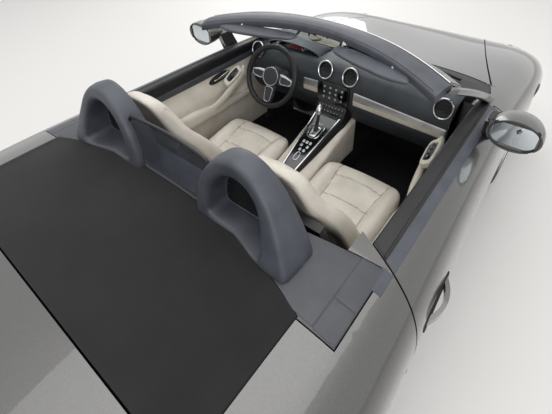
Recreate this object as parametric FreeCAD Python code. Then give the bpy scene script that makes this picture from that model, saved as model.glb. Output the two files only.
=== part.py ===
import FreeCAD, Part
import math
import os
from FreeCAD import Vector as V

# Two-seat convertible car, open, millimetres.
# +X forward, +Y left, +Z up, origin on the floor below the middle of the car.

# Overall sizes
LENGTH = 4379.0
NOSE_X = LENGTH / 2
BODY_BOTTOM = 140.0
SILL_Z = 230.0

# Wheels: places, tyre radius, section width, rim radius
FRONT_AXLE_X = 1262.0
REAR_AXLE_X = -1213.0
FRONT_TRACK_Y = 757.0
REAR_TRACK_Y = 764.0
FRONT_TYRE_R = 335.0
REAR_TYRE_R = 347.0
FRONT_TYRE_W = 235.0
REAR_TYRE_W = 255.0
RIM_R = 241.0
RIM_WALL = 14.0
TYRE_SEAT = 0.3
ARCH_CLEAR = 43.0
FRONT_ARCH_Y = 440.0
REAR_ARCH_Y = 600.0

# Clearances and wall sizes
MOVE_GAP = 6.5
PANEL_GAP = 4.0
SEAT_GAP = 0.3
SKIN = 30.0
LID_SKIN = 22.0

# Inner planes of the shell
CABIN_Y = 640.0
CABIN_REAR_X = -520.0
CABIN_FRONT_X = 905.0
FLOOR_Z = 200.0
TAIL_Y = 645.0
FRONT_BEAM_X = 1960.0
REAR_BEAM_X = -1990.0

# Doors
DOOR_FRONT_X = 650.0
DOOR_REAR_X = -530.0
DOOR_BOTTOM_Z = 285.0
DOOR_INNER_Y = 690.0
DOOR_CARD_Y = 641.0
DOOR_REAR_RAKE = 0.5
DOOR_SWING_BACK = 12.0
DOOR_WIDE_Y = 905.0
POST_X = 575.0
POST_Y = 760.0

# Hinge pins: radius, play in the bore, and places in side view (lids) or plan (doors)
PIN_R = 3.5
PIN_PLAY = 0.3
LID_PIN = (864.0, 861.0)
TAIL_PIN = (-1186.0, 910.0)
TAIL_SWING_R = 62.5
DOOR_PIN = (706.0, 840.0)
DOOR_PIN_R = 7.0
DOOR_SWING_R = 69.5
DOOR_POCKET_R = 60.0
DOOR_POCKET_Z = (470.0, 760.0)
STRAPS_Z = (515.0, 690.0)
STRAP_T = 30.0
STRAP_END = (640.0, 782.0)
LIP = 4.0

# Steering
KINGPIN_Y = 690.0
KINGPIN_R = 10.0
STEER_RIM_R = 187.0
STEER_TUBE_R = 15.0
STEER_CENTRE = V(323.0, 360.0, 827.0)
STEER_RAKE = 25.0

# Body sections from nose to tail. Columns: x, top height on the middle line, crown y and z
# (the rounded edge between top and side), widest y and z, sill y.
BODY = [
    (NOSE_X, 545, 330, 520, 400, 400, 400),
    (2165, 575, 430, 545, 560, 400, 520),
    (2110, 605, 540, 580, 690, 405, 640),
    (2010, 650, 630, 640, 790, 420, 740),
    (1860, 695, 665, 715, 855, 460, 800),
    (1640, 735, 695, 785, 885, 520, 830),
    (1400, 770, 715, 825, 893, 560, 840),
    (1130, 815, 730, 850, 892, 580, 840),
    (860, 868, 745, 880, 884, 590, 835),
    (560, 898, 758, 903, 880, 600, 832),
    (150, 910, 765, 912, 886, 600, 835),
    (-300, 915, 770, 915, 900, 600, 845),
    (-620, 935, 772, 922, 913, 600, 855),
    (-900, 945, 765, 925, 918, 600, 860),
    (-1213, 935, 752, 918, 918, 590, 860),
    (-1500, 915, 735, 898, 912, 580, 850),
    (-1750, 890, 705, 870, 890, 570, 830),
    (-1950, 855, 665, 835, 840, 560, 790),
    (-2080, 790, 590, 780, 765, 550, 710),
    (-2150, 700, 500, 700, 620, 530, 560),
    (-NOSE_X, 600, 400, 600, 460, 500, 430),
]

os.makedirs("parts", exist_ok=True)


def save(name, shape):
    """Write one sub-part and say how many solids and how much volume it has."""
    print(name, "solids", len(shape.Solids), "litres", round(shape.Volume / 1e6, 2), shape.isValid())
    shape.exportStep("parts/" + name + ".step")


def box(x0, x1, y0, y1, z0, z1):
    """Box between two corners."""
    return Part.makeBox(x1 - x0, y1 - y0, z1 - z0, V(x0, y0, z0))


def both_sides(shape):
    """A shape and its mirror image across the middle plane."""
    return [shape, mirrored(shape)]


def mirrored(shape):
    """Mirror image across the middle plane y = 0."""
    return shape.mirror(V(0, 0, 0), V(0, 1, 0))


def prism_y(points, y0, y1):
    """Polygon of (x, z) points pulled from y0 to y1."""
    face = Part.Face(Part.makePolygon([V(x, y0, z) for x, z in points + points[:1]]))
    return face.extrude(V(0, y1 - y0, 0))


def prism_x(points, x0, x1):
    """Polygon of (y, z) points pulled from x0 to x1."""
    face = Part.Face(Part.makePolygon([V(x0, y, z) for y, z in points + points[:1]]))
    return face.extrude(V(x1 - x0, 0, 0))


def prism_z(edges, z0=100.0, z1=1400.0):
    """Plan outline of lines and arcs, each a list of 2 or 3 (x, y) points, pulled upwards."""
    curves = []
    for edge in edges:
        ends = [V(x, y, z0) for x, y in edge]
        curve = Part.LineSegment(*ends) if len(ends) == 2 else Part.Arc(*ends)
        curves.append(curve.toShape())
    return Part.Face(Part.Wire(curves)).extrude(V(0, 0, z1 - z0))


def cylinder_y(x, z, radius, y0, y1):
    """Cylinder along y."""
    return Part.makeCylinder(radius, y1 - y0, V(x, y0, z), V(0, 1, 0))


def section_poles(x, top, crown_y, crown_z, wide_y, wide_z, sill_y):
    """Control points of one half section, from the middle line down to the floor plane."""
    drop = crown_z - wide_z
    return [
        V(x, 0, top),
        V(x, 0.5 * crown_y, top + 0.2 * (crown_z - top)),
        V(x, crown_y, crown_z),
        V(x, crown_y + 0.85 * (wide_y - crown_y), crown_z - 0.25 * drop),
        V(x, wide_y + 6, wide_z + 0.35 * drop),
        V(x, wide_y, wide_z - 0.15 * drop),
        V(x, sill_y + 0.2 * (wide_y - sill_y), SILL_Z + 0.35 * (wide_z - SILL_Z)),
        V(x, sill_y + 6, SILL_Z),
        V(x, sill_y - 30, BODY_BOTTOM),
    ]


def clamped_knots(poles, degree=3):
    """Evenly spaced knots with full ends, and how often each one counts."""
    spans = poles - degree
    knots = [i / spans for i in range(spans + 1)]
    counts = [degree + 1] + [1] * (spans - 1) + [degree + 1]
    return knots, counts


def body_form():
    """The closed outer form of the whole body, from which every panel is cut."""
    rows = []
    for station in BODY:
        half = section_poles(*station)
        right = [V(p.x, -p.y, p.z) for p in half[:0:-1]]
        rows.append(right + half)
    u_knots, u_counts = clamped_knots(len(rows))
    v_knots, v_counts = clamped_knots(len(rows[0]))
    surface = Part.BSplineSurface()
    surface.buildFromPolesMultsKnots(rows, u_counts, v_counts, u_knots, v_knots, False, False, 3, 3)
    skin = surface.toShape()
    faces = [skin]
    ends = []
    low = []
    for edge in skin.Edges:
        box_e = edge.BoundBox
        if box_e.XLength < 0.01:
            ends.append(edge)
        else:
            low.append(edge)
    floor_edges = list(low)
    for edge in ends:
        first = edge.Vertexes[0].Point
        last = edge.Vertexes[-1].Point
        chord = Part.LineSegment(first, last).toShape()
        floor_edges.append(chord)
        faces.append(Part.Face(Part.Wire(Part.__sortEdges__([edge, chord]))))
    faces.append(Part.Face(Part.Wire(Part.__sortEdges__(floor_edges))))
    shell = Part.Shell(faces)
    shell.sewShape()
    solid = Part.Solid(shell)
    if solid.Volume < 0:
        solid.reverse()
    return solid


FORM = body_form()
print("form valid", FORM.isValid(), "litres", FORM.Volume / 1e6)


def lowered(depth):
    """The outer form moved straight down."""
    return FORM.translated(V(0, 0, -depth))


UNDER_SKIN = lowered(SKIN)


def top_layer(outline, depth=SKIN):
    """An upright prism without what lies deeper than the body's top layer."""
    return outline.cut(lowered(depth + SEAT_GAP))


def skin_of(outline, depth=SKIN):
    """The top layer of the body inside a plan outline."""
    return FORM.common(outline).cut(lowered(depth))


# Plan outlines of what lies on top of the body
LID_REAR_Y = 690.0
LID_REAR_X = 858.0
LID_FRONT_X = 1985.0
LID_FRONT_Y = 400.0
LID_BULGE = 105.0
LID_REAR_GAP = 11.0
TAIL_LID_FRONT_X = -1136.0
TAIL_LID_REAR_X = -1985.0
TAIL_LID_Y = 600.0
TOP_FRONT_X = -640.0
TAIL_LID_GAP = 12.0
TOP_REAR_X = TAIL_LID_FRONT_X + TAIL_LID_GAP
TOP_Y = 640.0
FLAP_Y = 757.0
TOP_DEPTH = 60.0
HOOP_X = (-675.0, -565.0)
PIPE_BAY_Z = 345.0
SHAFT_R = 17.0
SHAFT_HOLE_R = 55.0


def front_lid_outline(grow, rear_gap=0.0):
    """Plan of the front lid, grown by a gap, and by another one at its rear edge."""
    side_y = LID_REAR_Y + 1.35 * grow + 0.5 * rear_gap
    tip_y = LID_FRONT_Y + grow
    mid = (1452.0, 517.0 + grow)
    back = LID_REAR_X - rear_gap
    front = LID_FRONT_X + grow
    return prism_z([
        [(back, -side_y), (back + LID_BULGE, 0), (back, side_y)],
        [(back, side_y), mid, (front, tip_y)],
        [(front, tip_y), (front + 70, 0), (front, -tip_y)],
        [(front, -tip_y), (mid[0], -mid[1]), (back, -side_y)],
    ])


def rear_lid_outline(grow, front_gap=0.0):
    """Plan of the rear lid, grown by a gap, and by another one at its front edge."""
    front = TAIL_LID_FRONT_X + front_gap
    back = TAIL_LID_REAR_X - grow
    side = TAIL_LID_Y + grow
    narrow = side - 60
    return prism_z([
        [(front, -side), (front, side)],
        [(front, side), (back, narrow)],
        [(back, narrow), (back - 30, 0), (back, -narrow)],
        [(back, -narrow), (front, -side)],
    ])


def soft_top_outline(grow):
    """Plan of the folded top's cover, grown by a gap."""
    front = TOP_FRONT_X + grow
    back = TOP_REAR_X - grow
    side = TOP_Y + grow
    corner_x = TOP_FRONT_X - 110 + grow
    return prism_z([
        [(corner_x, -side), (front - 45, -430), (front, 0)],
        [(front, 0), (front - 45, 430), (corner_x, side)],
        [(corner_x, side), (back, side)],
        [(back, side), (back, -side)],
        [(back, -side), (corner_x, -side)],
    ])


def plinth_outline(grow):
    """Plan of the fairing that the roll hoops stand on, grown by a gap."""
    side = 497.0 + grow
    front = CABIN_REAR_X - 4 + grow
    back_out = TOP_FRONT_X - 80
    return prism_z([
        [(front, -side), (front, side)],
        [(front, side), (back_out, side)],
        [(back_out, side), (back_out, -side)],
        [(back_out, -side), (front, -side)],
    ])


def flap_outline(grow):
    """Plan of the left flap between hoop fairing, door and cover, grown by a gap."""
    inner = 497.0 + PANEL_GAP - grow
    front = -478.0 + grow
    back = -752.0 - grow
    outer = FLAP_Y + grow
    return prism_z([
        [(front - 40, inner), (front, outer)],
        [(front, outer), (back, outer)],
        [(back, outer), (back, inner)],
        [(back, inner), (front - 40, inner)],
    ])


def cowl_outline(grow):
    """Plan of the black strip below the windshield, grown by a gap."""
    front = LID_REAR_X - LID_REAR_GAP + grow
    side = LID_REAR_Y + grow
    return prism_z([
        [(front, -side), (front + LID_BULGE, 0), (front, side)],
        [(front, side), (660, 738 + grow)],
        [(660, 738 + grow), (660, 640)],
        [(660, 640), (815, 0), (660, -640)],
        [(660, -640), (660, -738 - grow)],
        [(660, -738 - grow), (front, -side)],
    ])


# Regions in side view
BUMPER_SIDE = [(1640, 100), (1640, 470), (1990, 600), (1990, 900), (2400, 900), (2400, 100)]
TAIL_SIDE = [(-1600, 100), (-1600, 440), (-1975, 640), (-1975, 735), (-2400, 735), (-2400, 100)]
FAR = 1200.0


def grown_side(points, gap):
    """The same side-view region with its inner edges moved by a gap towards the car's middle."""
    way = -1 if points[0][0] > 0 else 1
    return [(x + way * gap if abs(x) < 2390 else x, z + (gap if 110 < z < 890 else 0)) for x, z in points]


def door_side(grow, swing_back=0.0):
    """Side view of the door, grown by a gap and by its corner's swing, from the card outwards."""
    front = DOOR_FRONT_X + grow
    low = DOOR_BOTTOM_Z - grow
    outline = [(front, 1000), (front, 480), (front - 12, 360), (front - 60, low), (-405 - swing_back, low)]
    outline += [(-495 - swing_back, low + 60), (-550 - swing_back, 480), (-550 - swing_back, 1000)]
    prism = prism_y(outline, DOOR_CARD_Y - grow, FAR)
    prism = prism.cut(box(POST_X - MOVE_GAP + grow, 1000, 0, POST_Y + MOVE_GAP - grow, 0, 1400))
    rear = DOOR_REAR_X - grow
    run = DOOR_WIDE_Y - 600
    wedge = prism_z([
        [(rear - 300 * DOOR_REAR_RAKE, FAR + 5), (rear + run * DOOR_REAR_RAKE, 600)],
        [(rear + run * DOOR_REAR_RAKE, 600), (1000, 600)],
        [(1000, 600), (1000, FAR + 5)],
        [(1000, FAR + 5), (rear - 300 * DOOR_REAR_RAKE, FAR + 5)],
    ])
    return prism.common(wedge)


def arch(x, z, radius, y0):
    """Left wheel arch: a round house, open below."""
    return cylinder_y(x, z, radius, y0, FAR).fuse(box(x - radius, x + radius, y0, FAR, 0, z))


FRONT_ARCH_R = FRONT_TYRE_R + ARCH_CLEAR
REAR_ARCH_R = REAR_TYRE_R + ARCH_CLEAR - 8
front_arch = arch(FRONT_AXLE_X, FRONT_TYRE_R, FRONT_ARCH_R, FRONT_ARCH_Y)
rear_arch = arch(REAR_AXLE_X, REAR_TYRE_R, REAR_ARCH_R, REAR_ARCH_Y)
ARCHES = both_sides(front_arch) + both_sides(rear_arch)


def core_block(depth):
    """The inner shell's outer bounds below the skin panels."""
    front = box(CABIN_FRONT_X, FRONT_BEAM_X, -FRONT_ARCH_Y, FRONT_ARCH_Y, 0, 1200)
    middle = box(CABIN_REAR_X, CABIN_FRONT_X, -CABIN_Y, CABIN_Y, 0, 1200)
    rear = box(REAR_BEAM_X, CABIN_REAR_X, -TAIL_Y, TAIL_Y, 0, 1200)
    return lowered(depth).common(front.fuse([middle, rear]))


CORE_CUT = core_block(SKIN)


def make_inner_shell():
    """Floor, tunnel, bulkheads, luggage tubs and engine bay in one inner shell."""
    core = core_block(SKIN + SEAT_GAP)
    tunnel_y = 110.0
    tunnel_z = 380.0
    cabin_side = [(CABIN_REAR_X, FLOOR_Z), (CABIN_FRONT_X - 5, FLOOR_Z), (CABIN_FRONT_X - 5, 620)]
    cabin_side += [(760, 620), (760, 1300), (CABIN_REAR_X, 1300)]
    cabin = prism_y(cabin_side, -CABIN_Y - 1, CABIN_Y + 1)
    tunnel = box(CABIN_REAR_X, CABIN_FRONT_X - 5, -tunnel_y, tunnel_y, FLOOR_Z, tunnel_z)
    front_tub = box(1000, 1800, -400, 400, 260, 1200)
    rear_tub = box(-1930, -1500, -500, 500, 420, 1200)
    top_well = soft_top_outline(PANEL_GAP).cut(lowered(TOP_DEPTH + SEAT_GAP))
    bay = box(-1450, -580, -420, 420, 100, 640)
    pipe_bay = box(REAR_BEAM_X - 1, -1449, -380.5, 380.5, 100, PIPE_BAY_Z)
    lid_swing = cylinder_y(*TAIL_PIN, TAIL_SWING_R, -TAIL_LID_Y - MOVE_GAP, TAIL_LID_Y + MOVE_GAP)
    shafts = cylinder_y(REAR_AXLE_X, REAR_TYRE_R, SHAFT_HOLE_R, -TAIL_Y, TAIL_Y)
    core = core.cut([cabin.cut(tunnel), front_tub, rear_tub, top_well, bay, pipe_bay, lid_swing, shafts])
    nose_open = box(1000, 1800, -400, 400, 100, 220)
    return core.cut([nose_open] + ARCHES)


# The inner shell is welded from four parts, one behind the other
FRONT_TUB_X = 950.0
BULKHEAD_X = -560.0
REAR_TUB_X = -1475.0
SHELL_PARTS = [
    ("front_luggage_tub", FRONT_TUB_X, 2 * FAR),
    ("floor_tub", BULKHEAD_X, FRONT_TUB_X),
    ("rear_frame", REAR_TUB_X, BULKHEAD_X),
    ("rear_luggage_tub", -2 * FAR, REAR_TUB_X),
]
inner_shell = make_inner_shell()
for name, back, front in SHELL_PARTS:
    save(name, inner_shell.common(box(back, front, -FAR, FAR, 0, FAR)))

# Front lid and rear lid: thin panels with their own gap all round
BORE_R = PIN_R + PIN_PLAY
LID_BORE_Y = 668.0
TAIL_BORE_Y = 570.0
front_lid = skin_of(front_lid_outline(0), LID_SKIN)
front_lid = front_lid.cut(both_sides(cylinder_y(*LID_PIN, BORE_R, LID_BORE_Y, FAR)))
rear_lid = skin_of(rear_lid_outline(0), LID_SKIN)
rear_lid = rear_lid.cut(both_sides(cylinder_y(*TAIL_PIN, BORE_R, TAIL_BORE_Y, FAR)))
save("front_lid", front_lid)
save("rear_lid", rear_lid)

# Cover of the folded top, flaps beside it and black strip below the windshield
hoop_foot = box(HOOP_X[0] - PANEL_GAP, HOOP_X[1], 150, 500, 800, 1300)
soft_top = skin_of(soft_top_outline(0), TOP_DEPTH).cut(both_sides(hoop_foot))
flap = skin_of(flap_outline(0), SKIN).cut(soft_top_outline(PANEL_GAP))
cowl = skin_of(cowl_outline(0), SKIN)
save("soft_top", soft_top)
save("deck_flaps", Part.makeCompound(both_sides(flap)))
save("cowl", cowl)

LIDS_CUT = [top_layer(front_lid_outline(MOVE_GAP, LID_REAR_GAP))]
LIDS_CUT.append(top_layer(rear_lid_outline(MOVE_GAP, TAIL_LID_GAP)))
ON_TOP = LIDS_CUT + [top_layer(cowl_outline(PANEL_GAP)), top_layer(plinth_outline(PANEL_GAP))]
ON_TOP += both_sides(top_layer(flap_outline(PANEL_GAP)))
ON_TOP.append(top_layer(soft_top_outline(PANEL_GAP), TOP_DEPTH))
CABIN_HOLE = box(CABIN_REAR_X, CABIN_FRONT_X, -CABIN_Y, CABIN_Y, FLOOR_Z, 1300)
DOOR_HOLE = door_side(MOVE_GAP, DOOR_SWING_BACK)
TOP_LAYER_CUT = [CORE_CUT, CABIN_HOLE] + ON_TOP
bumper_zone = prism_y(BUMPER_SIDE, -FAR, FAR)
bumper_zone = bumper_zone.cut(box(0, FRONT_BEAM_X, -FRONT_ARCH_Y, FRONT_ARCH_Y, 0, 1200))
tail_zone = prism_y(TAIL_SIDE, -FAR, FAR).cut(box(REAR_BEAM_X, 0, -TAIL_Y, TAIL_Y, 0, 1200))
bumper_hole = prism_y(grown_side(BUMPER_SIDE, PANEL_GAP), -FAR, FAR)
tail_hole = prism_y(grown_side(TAIL_SIDE, PANEL_GAP), -FAR, FAR)

# Lamps, each a thick glassy lens let into the corner of the body
HEADLIGHT = (1885.0, 625.0)
HEADLIGHT_R = (135.0, 88.0)
LAMP_DEPTH = 60.0


def lens_prism(centre, radii, grow, turn):
    """Upright elliptical prism for a lamp, turned about its own axis."""
    ellipse = Part.Ellipse(V(centre[0], centre[1], 100), radii[0] + grow, radii[1] + grow)
    face = Part.Face(Part.Wire([ellipse.toShape()]))
    face.rotate(V(centre[0], centre[1], 0), V(0, 0, 1), turn)
    return face.extrude(V(0, 0, 1200))


headlight_solid = FORM.common(lens_prism(HEADLIGHT, HEADLIGHT_R, 0, -20)).cut(lowered(LAMP_DEPTH))
headlight_hole = lens_prism(HEADLIGHT, HEADLIGHT_R, PANEL_GAP, -20).cut(lowered(LAMP_DEPTH + SEAT_GAP))
save("headlights", Part.makeCompound(both_sides(headlight_solid)))

TAIL_LAMP = [(-1900, 735), (-1900, 800), (-2400, 760), (-2400, 700), (-2040, 690)]
TAIL_LAMP_Y = 560.0


def grown_prism_y(points, gap, y0, y1):
    """Side-view polygon grown by a gap all round, pulled from y0 to y1."""
    face = Part.Face(Part.makePolygon([V(x, y0, z) for x, z in points + points[:1]]))
    return face.makeOffset2D(gap, 2).extrude(V(0, y1 - y0, 0))


tail_lamp_bar = prism_y(TAIL_LAMP, TAIL_LAMP_Y, FAR)
tail_lamp_hole = grown_prism_y(TAIL_LAMP, PANEL_GAP, TAIL_LAMP_Y - PANEL_GAP, FAR)
inner_tail = FORM.translated(V(70, 0, 0)).common(FORM.translated(V(0, -60, 0)))
tail_lamp = FORM.common(tail_lamp_bar).cut([inner_tail, rear_lid_outline(MOVE_GAP), CORE_CUT])
save("tail_lights", Part.makeCompound(both_sides(tail_lamp)))

# Front bumper and rear bumper
front_bumper = FORM.common(bumper_zone).cut(LIDS_CUT + ARCHES)
front_bumper = front_bumper.cut(both_sides(headlight_hole))
# Front air intakes. Columns: middle y, low z, width, height, back wall x, grille x
FRONT_INTAKES = [
    (-530, 232, 250, 150, 1985, 2030),
    (0, 205, 660, 110, 2070, 2110),
    (530, 232, 250, 150, 1985, 2030),
]
BAR_T = 9.0
BAR_PITCH = 34.0
BAR_DEPTH = 22.0
grilles = []
for mid_y, low_z, wide, tall, wall_x, bar_x in FRONT_INTAKES:
    left = mid_y - wide / 2
    front_bumper = front_bumper.cut(box(wall_x, 2400, left, left + wide, low_z, low_z + tall))
    grille = box(bar_x, bar_x + BAR_DEPTH, mid_y - BAR_T, mid_y + BAR_T, low_z, low_z + tall)
    for i in range(int(tall // BAR_PITCH)):
        bar_z = low_z + BAR_PITCH * (i + 0.6)
        grille = grille.fuse(box(bar_x, bar_x + BAR_DEPTH, left, left + wide, bar_z, bar_z + BAR_T))
    grilles.append(grille.common(FORM))
save("front_bumper", front_bumper)

# The tail panel between the tail lamps belongs to the bumper, the black panel below does not
TAIL_PANEL_Y = TAIL_LAMP_Y - PANEL_GAP
DIFFUSER_Y = 470.0
DIFFUSER_Z = 262.0
DIFFUSER_X = -2000.0
rear_bumper_zone = tail_zone.fuse(box(-2400, REAR_BEAM_X, -TAIL_PANEL_Y, TAIL_PANEL_Y, 700, 1000))
rear_bumper = FORM.common(rear_bumper_zone).cut(LIDS_CUT + ARCHES)
rear_bumper = rear_bumper.cut(both_sides(tail_lamp_hole))
diffuser_zone = box(-2400, DIFFUSER_X, -DIFFUSER_Y, DIFFUSER_Y, 0, DIFFUSER_Z)
rear_bumper = rear_bumper.cut(diffuser_zone)
PLATE = (-2166.0, 265.0, 430.0, 560.0)
rear_bumper = rear_bumper.cut(box(-2400, PLATE[0], -PLATE[1], PLATE[1], PLATE[2], PLATE[3]))
PIPE_R = 48.0
PIPE_Z = 250.0
pipe_gap = box(-2400, -1990, -150, 150, 130, PIPE_Z + 70)
rear_bumper = rear_bumper.cut(pipe_gap)
save("rear_bumper", rear_bumper)
diffuser = FORM.common(box(-2400, DIFFUSER_X, -DIFFUSER_Y, DIFFUSER_Y, 0, DIFFUSER_Z))
diffuser = diffuser.cut([pipe_gap] + both_sides(box(-2400, -2080, 190, 310, 0, 225)))
diffuser = diffuser.cut(both_sides(box(-2400, -2080, 330, 450, 0, 225)))
save("rear_diffuser", diffuser)

# Front fenders
fender_zone = box(DOOR_FRONT_X + MOVE_GAP, 2000, 100, FAR, 0, 1200)
fender_zone = fender_zone.fuse(box(POST_X, DOOR_FRONT_X + MOVE_GAP, 100, POST_Y, 0, 1200))
sill_zone = box(-460, FRONT_AXLE_X, CABIN_Y, FAR, 0, DOOR_BOTTOM_Z - MOVE_GAP)
sill_hole = box(-460, FRONT_AXLE_X, 100, FAR, 0, DOOR_BOTTOM_Z - MOVE_GAP + PANEL_GAP)
fender = FORM.common(fender_zone).cut(TOP_LAYER_CUT + [bumper_hole, sill_hole, front_arch, headlight_hole])


def door_pocket():
    """Room behind the fender's rear edge in which the left door's hinge straps turn."""
    x, y = DOOR_PIN
    z0, z1 = DOOR_POCKET_Z
    round_part = Part.makeCylinder(DOOR_POCKET_R, z1 - z0, V(x, y, z0))
    mouth = box(DOOR_FRONT_X + MOVE_GAP - 1, x, POST_Y + 15, y + 30, z0, z1)
    return round_part.fuse(mouth).common(FORM.translated(V(0, -LIP, 0)))


def door_pin():
    """Upright hinge pin of the left door, held above and below the pocket."""
    z0, z1 = DOOR_POCKET_Z
    return Part.makeCylinder(DOOR_PIN_R, z1 - z0 + 6, V(*DOOR_PIN, z0 - 3))


lid_pin = cylinder_y(*LID_PIN, PIN_R, LID_BORE_Y + 4, LID_REAR_Y + 25)
fender = fender.cut(door_pocket()).fuse([door_pin(), lid_pin])
save("front_fender_left", fender)
save("front_fender_right", mirrored(fender))

# Rear quarters with the sills
quarter_zone = box(REAR_BEAM_X, -380, 100, FAR, 0, 1200)
quarter_zone = quarter_zone.fuse(box(-2200, REAR_BEAM_X, TAIL_LAMP_Y, FAR, 0, 1200))
quarter_zone = quarter_zone.fuse(sill_zone)
quarter = FORM.common(quarter_zone).cut(TOP_LAYER_CUT + [DOOR_HOLE, tail_hole, rear_arch, front_arch])
quarter = quarter.cut([tail_lamp_hole, box(CABIN_FRONT_X - 1, 2000, 0, FAR, 0, 1200)])
SIDE_INTAKE = [(-535, 430), (-590, 705), (-705, 725), (-650, 445)]
SIDE_INTAKE_Y = 868.0
intake = prism_y(SIDE_INTAKE, SIDE_INTAKE_Y, FAR)
VANES_X = (-560, -600)
VANE_OUT = 888.0
vane_sides = [[(x - 6, 400), (x - 73, 760), (x - 60, 760), (x + 7, 400)] for x in VANES_X]
vanes = [prism_y(side, SIDE_INTAKE_Y, VANE_OUT) for side in vane_sides]
side_vanes = [vane.common(intake) for vane in vanes]
tail_pin = cylinder_y(*TAIL_PIN, PIN_R, TAIL_BORE_Y + 4, TAIL_LID_Y + 20)
quarter = max(quarter.cut(intake).Solids, key=lambda solid: solid.Volume).fuse(tail_pin)
for vane in side_vanes:
    grilles += both_sides(vane)
save("air_grilles", Part.makeCompound(grilles))
save("quarter_left", quarter)
save("quarter_right", mirrored(quarter))

# Doors
door_prism = door_side(0)
door_all = FORM.common(door_prism)
door_left = door_all.common(box(-1000, 1000, DOOR_INNER_Y, FAR, 0, 1400))
door_left = door_left.cut(Part.makeCylinder(DOOR_SWING_R, 1400, V(*DOOR_PIN, 0)))


def hinge_strap(z):
    """Strap that reaches from the left door's front face to the hinge pin, with its eye."""
    eye = V(*DOOR_PIN, z)
    end = V(*STRAP_END, z)
    half = (end - eye).cross(V(0, 0, 1)).normalize() * 8
    corners = [eye + half, end + half, end - half, eye - half, eye + half]
    strap = Part.Face(Part.makePolygon(corners)).extrude(V(0, 0, STRAP_T))
    ring = Part.makeCylinder(DOOR_PIN_R + 8, STRAP_T, eye)
    return strap.fuse(ring).cut(Part.makeCylinder(DOOR_PIN_R + PIN_PLAY, STRAP_T, eye))


HANDLE_X = (-470.0, -245.0)
HANDLE_Z = (705.0, 733.0)
HANDLE_OUT = 934.0


def door_handle():
    """Bowed grip across the left door's rear part."""
    low, high = HANDLE_X
    mid = (low + high) / 2
    grip = prism_z([
        [(low, 890), (mid, HANDLE_OUT), (high, 884)],
        [(high, 884), (high - 22, 884)],
        [(high - 22, 884), (mid, HANDLE_OUT - 14), (low + 22, 890)],
        [(low + 22, 890), (low, 890)],
    ], *HANDLE_Z)
    return grip


door_left = door_left.fuse([hinge_strap(z) for z in STRAPS_Z] + [door_handle()])
CARD_BOTTOM_Z = 330.0
card_zone = box(-1000, DOOR_FRONT_X - 15, DOOR_CARD_Y, DOOR_INNER_Y, CARD_BOTTOM_Z, 1400)
RAIL_Y = 683.0
RAIL_LOW_Z = 800.0
door_card = door_all.common(card_zone).cut(box(-1000, 1000, 0, RAIL_Y, RAIL_LOW_Z, 1400))
save("door_left", door_left)
save("door_right", mirrored(door_left))
save("door_card_left", door_card)
save("door_card_right", mirrored(door_card))


MIRROR_Y = 897.0
MIRROR_WIDE = 100.0


def make_mirror():
    """Left door mirror: a rounded head on a foot that stands on the door's front corner."""
    rings = []
    for x, share in ((286, 0.98), (330, 1.0), (395, 0.82), (440, 0.42)):
        ellipse = Part.Ellipse(V(x, MIRROR_Y, 972), MIRROR_WIDE * share, 70 * share)
        ring = Part.Wire([ellipse.toShape()])
        ring.rotate(V(x, MIRROR_Y, 972), V(0, 1, 0), 90)
        ring.rotate(V(x, MIRROR_Y, 972), V(1, 0, 0), 90)
        rings.append(ring)
    head = Part.makeLoft(rings, True, False)
    head = head.cut(box(280, 296, MIRROR_Y - 80, MIRROR_Y + 80, 922, 1022))
    foot = prism_y([(395, 840), (500, 840), (440, 965), (350, 965)], 778, 815)
    return head.fuse(foot).cut(FORM)


mirror_left = make_mirror()
save("mirror_left", mirror_left)
save("mirror_right", mirrored(mirror_left))

# Windshield: a grid of control points, from the strip below it up to the header
HEADER_FRONT = [(204, 648, 1156), (288, 472, 1194), (346, 240, 1213), (362, 0, 1218)]
HEADER_BACK = [(98, 628), (182, 455), (248, 228), (276, 0)]
HEADER_T = 36.0
GLASS_LOW = [(648, 696, 868), (790, 590, 864), (880, 300, 856), (905, 0, 850)]
GLASS_BULGE = 30.0
GLASS_T = 6.0
GLASS_IN = V(-GLASS_T * 0.45, 0, -GLASS_T * 0.9)
GLASS_STEP = V(SEAT_GAP - GLASS_IN.x, 0, -4)


def glass_face():
    """The windshield's outer surface."""
    rows = []
    for share in (0.0, 0.5, 1.0):
        half = []
        for low, top in zip(GLASS_LOW, HEADER_FRONT):
            foot = V(*low)
            lift = V(0, 0, GLASS_BULGE if share == 0.5 else 0)
            half.append(foot + (V(*top) + GLASS_STEP - foot) * share + lift)
        rows.append([V(p.x, -p.y, p.z) for p in half[:3]] + half[::-1])
    surface = Part.BSplineSurface()
    u_knots, u_counts = clamped_knots(3, 2)
    v_knots, v_counts = clamped_knots(7, 3)
    surface.buildFromPolesMultsKnots(rows, u_counts, v_counts, u_knots, v_knots, False, False, 2, 3)
    return surface.toShape()


PANE = glass_face()
glass = PANE.extrude(GLASS_IN)
PILLAR_FOOT = V(735, 728, 850)
PILLAR_TOP = V(196, 662, 1140)


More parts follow.
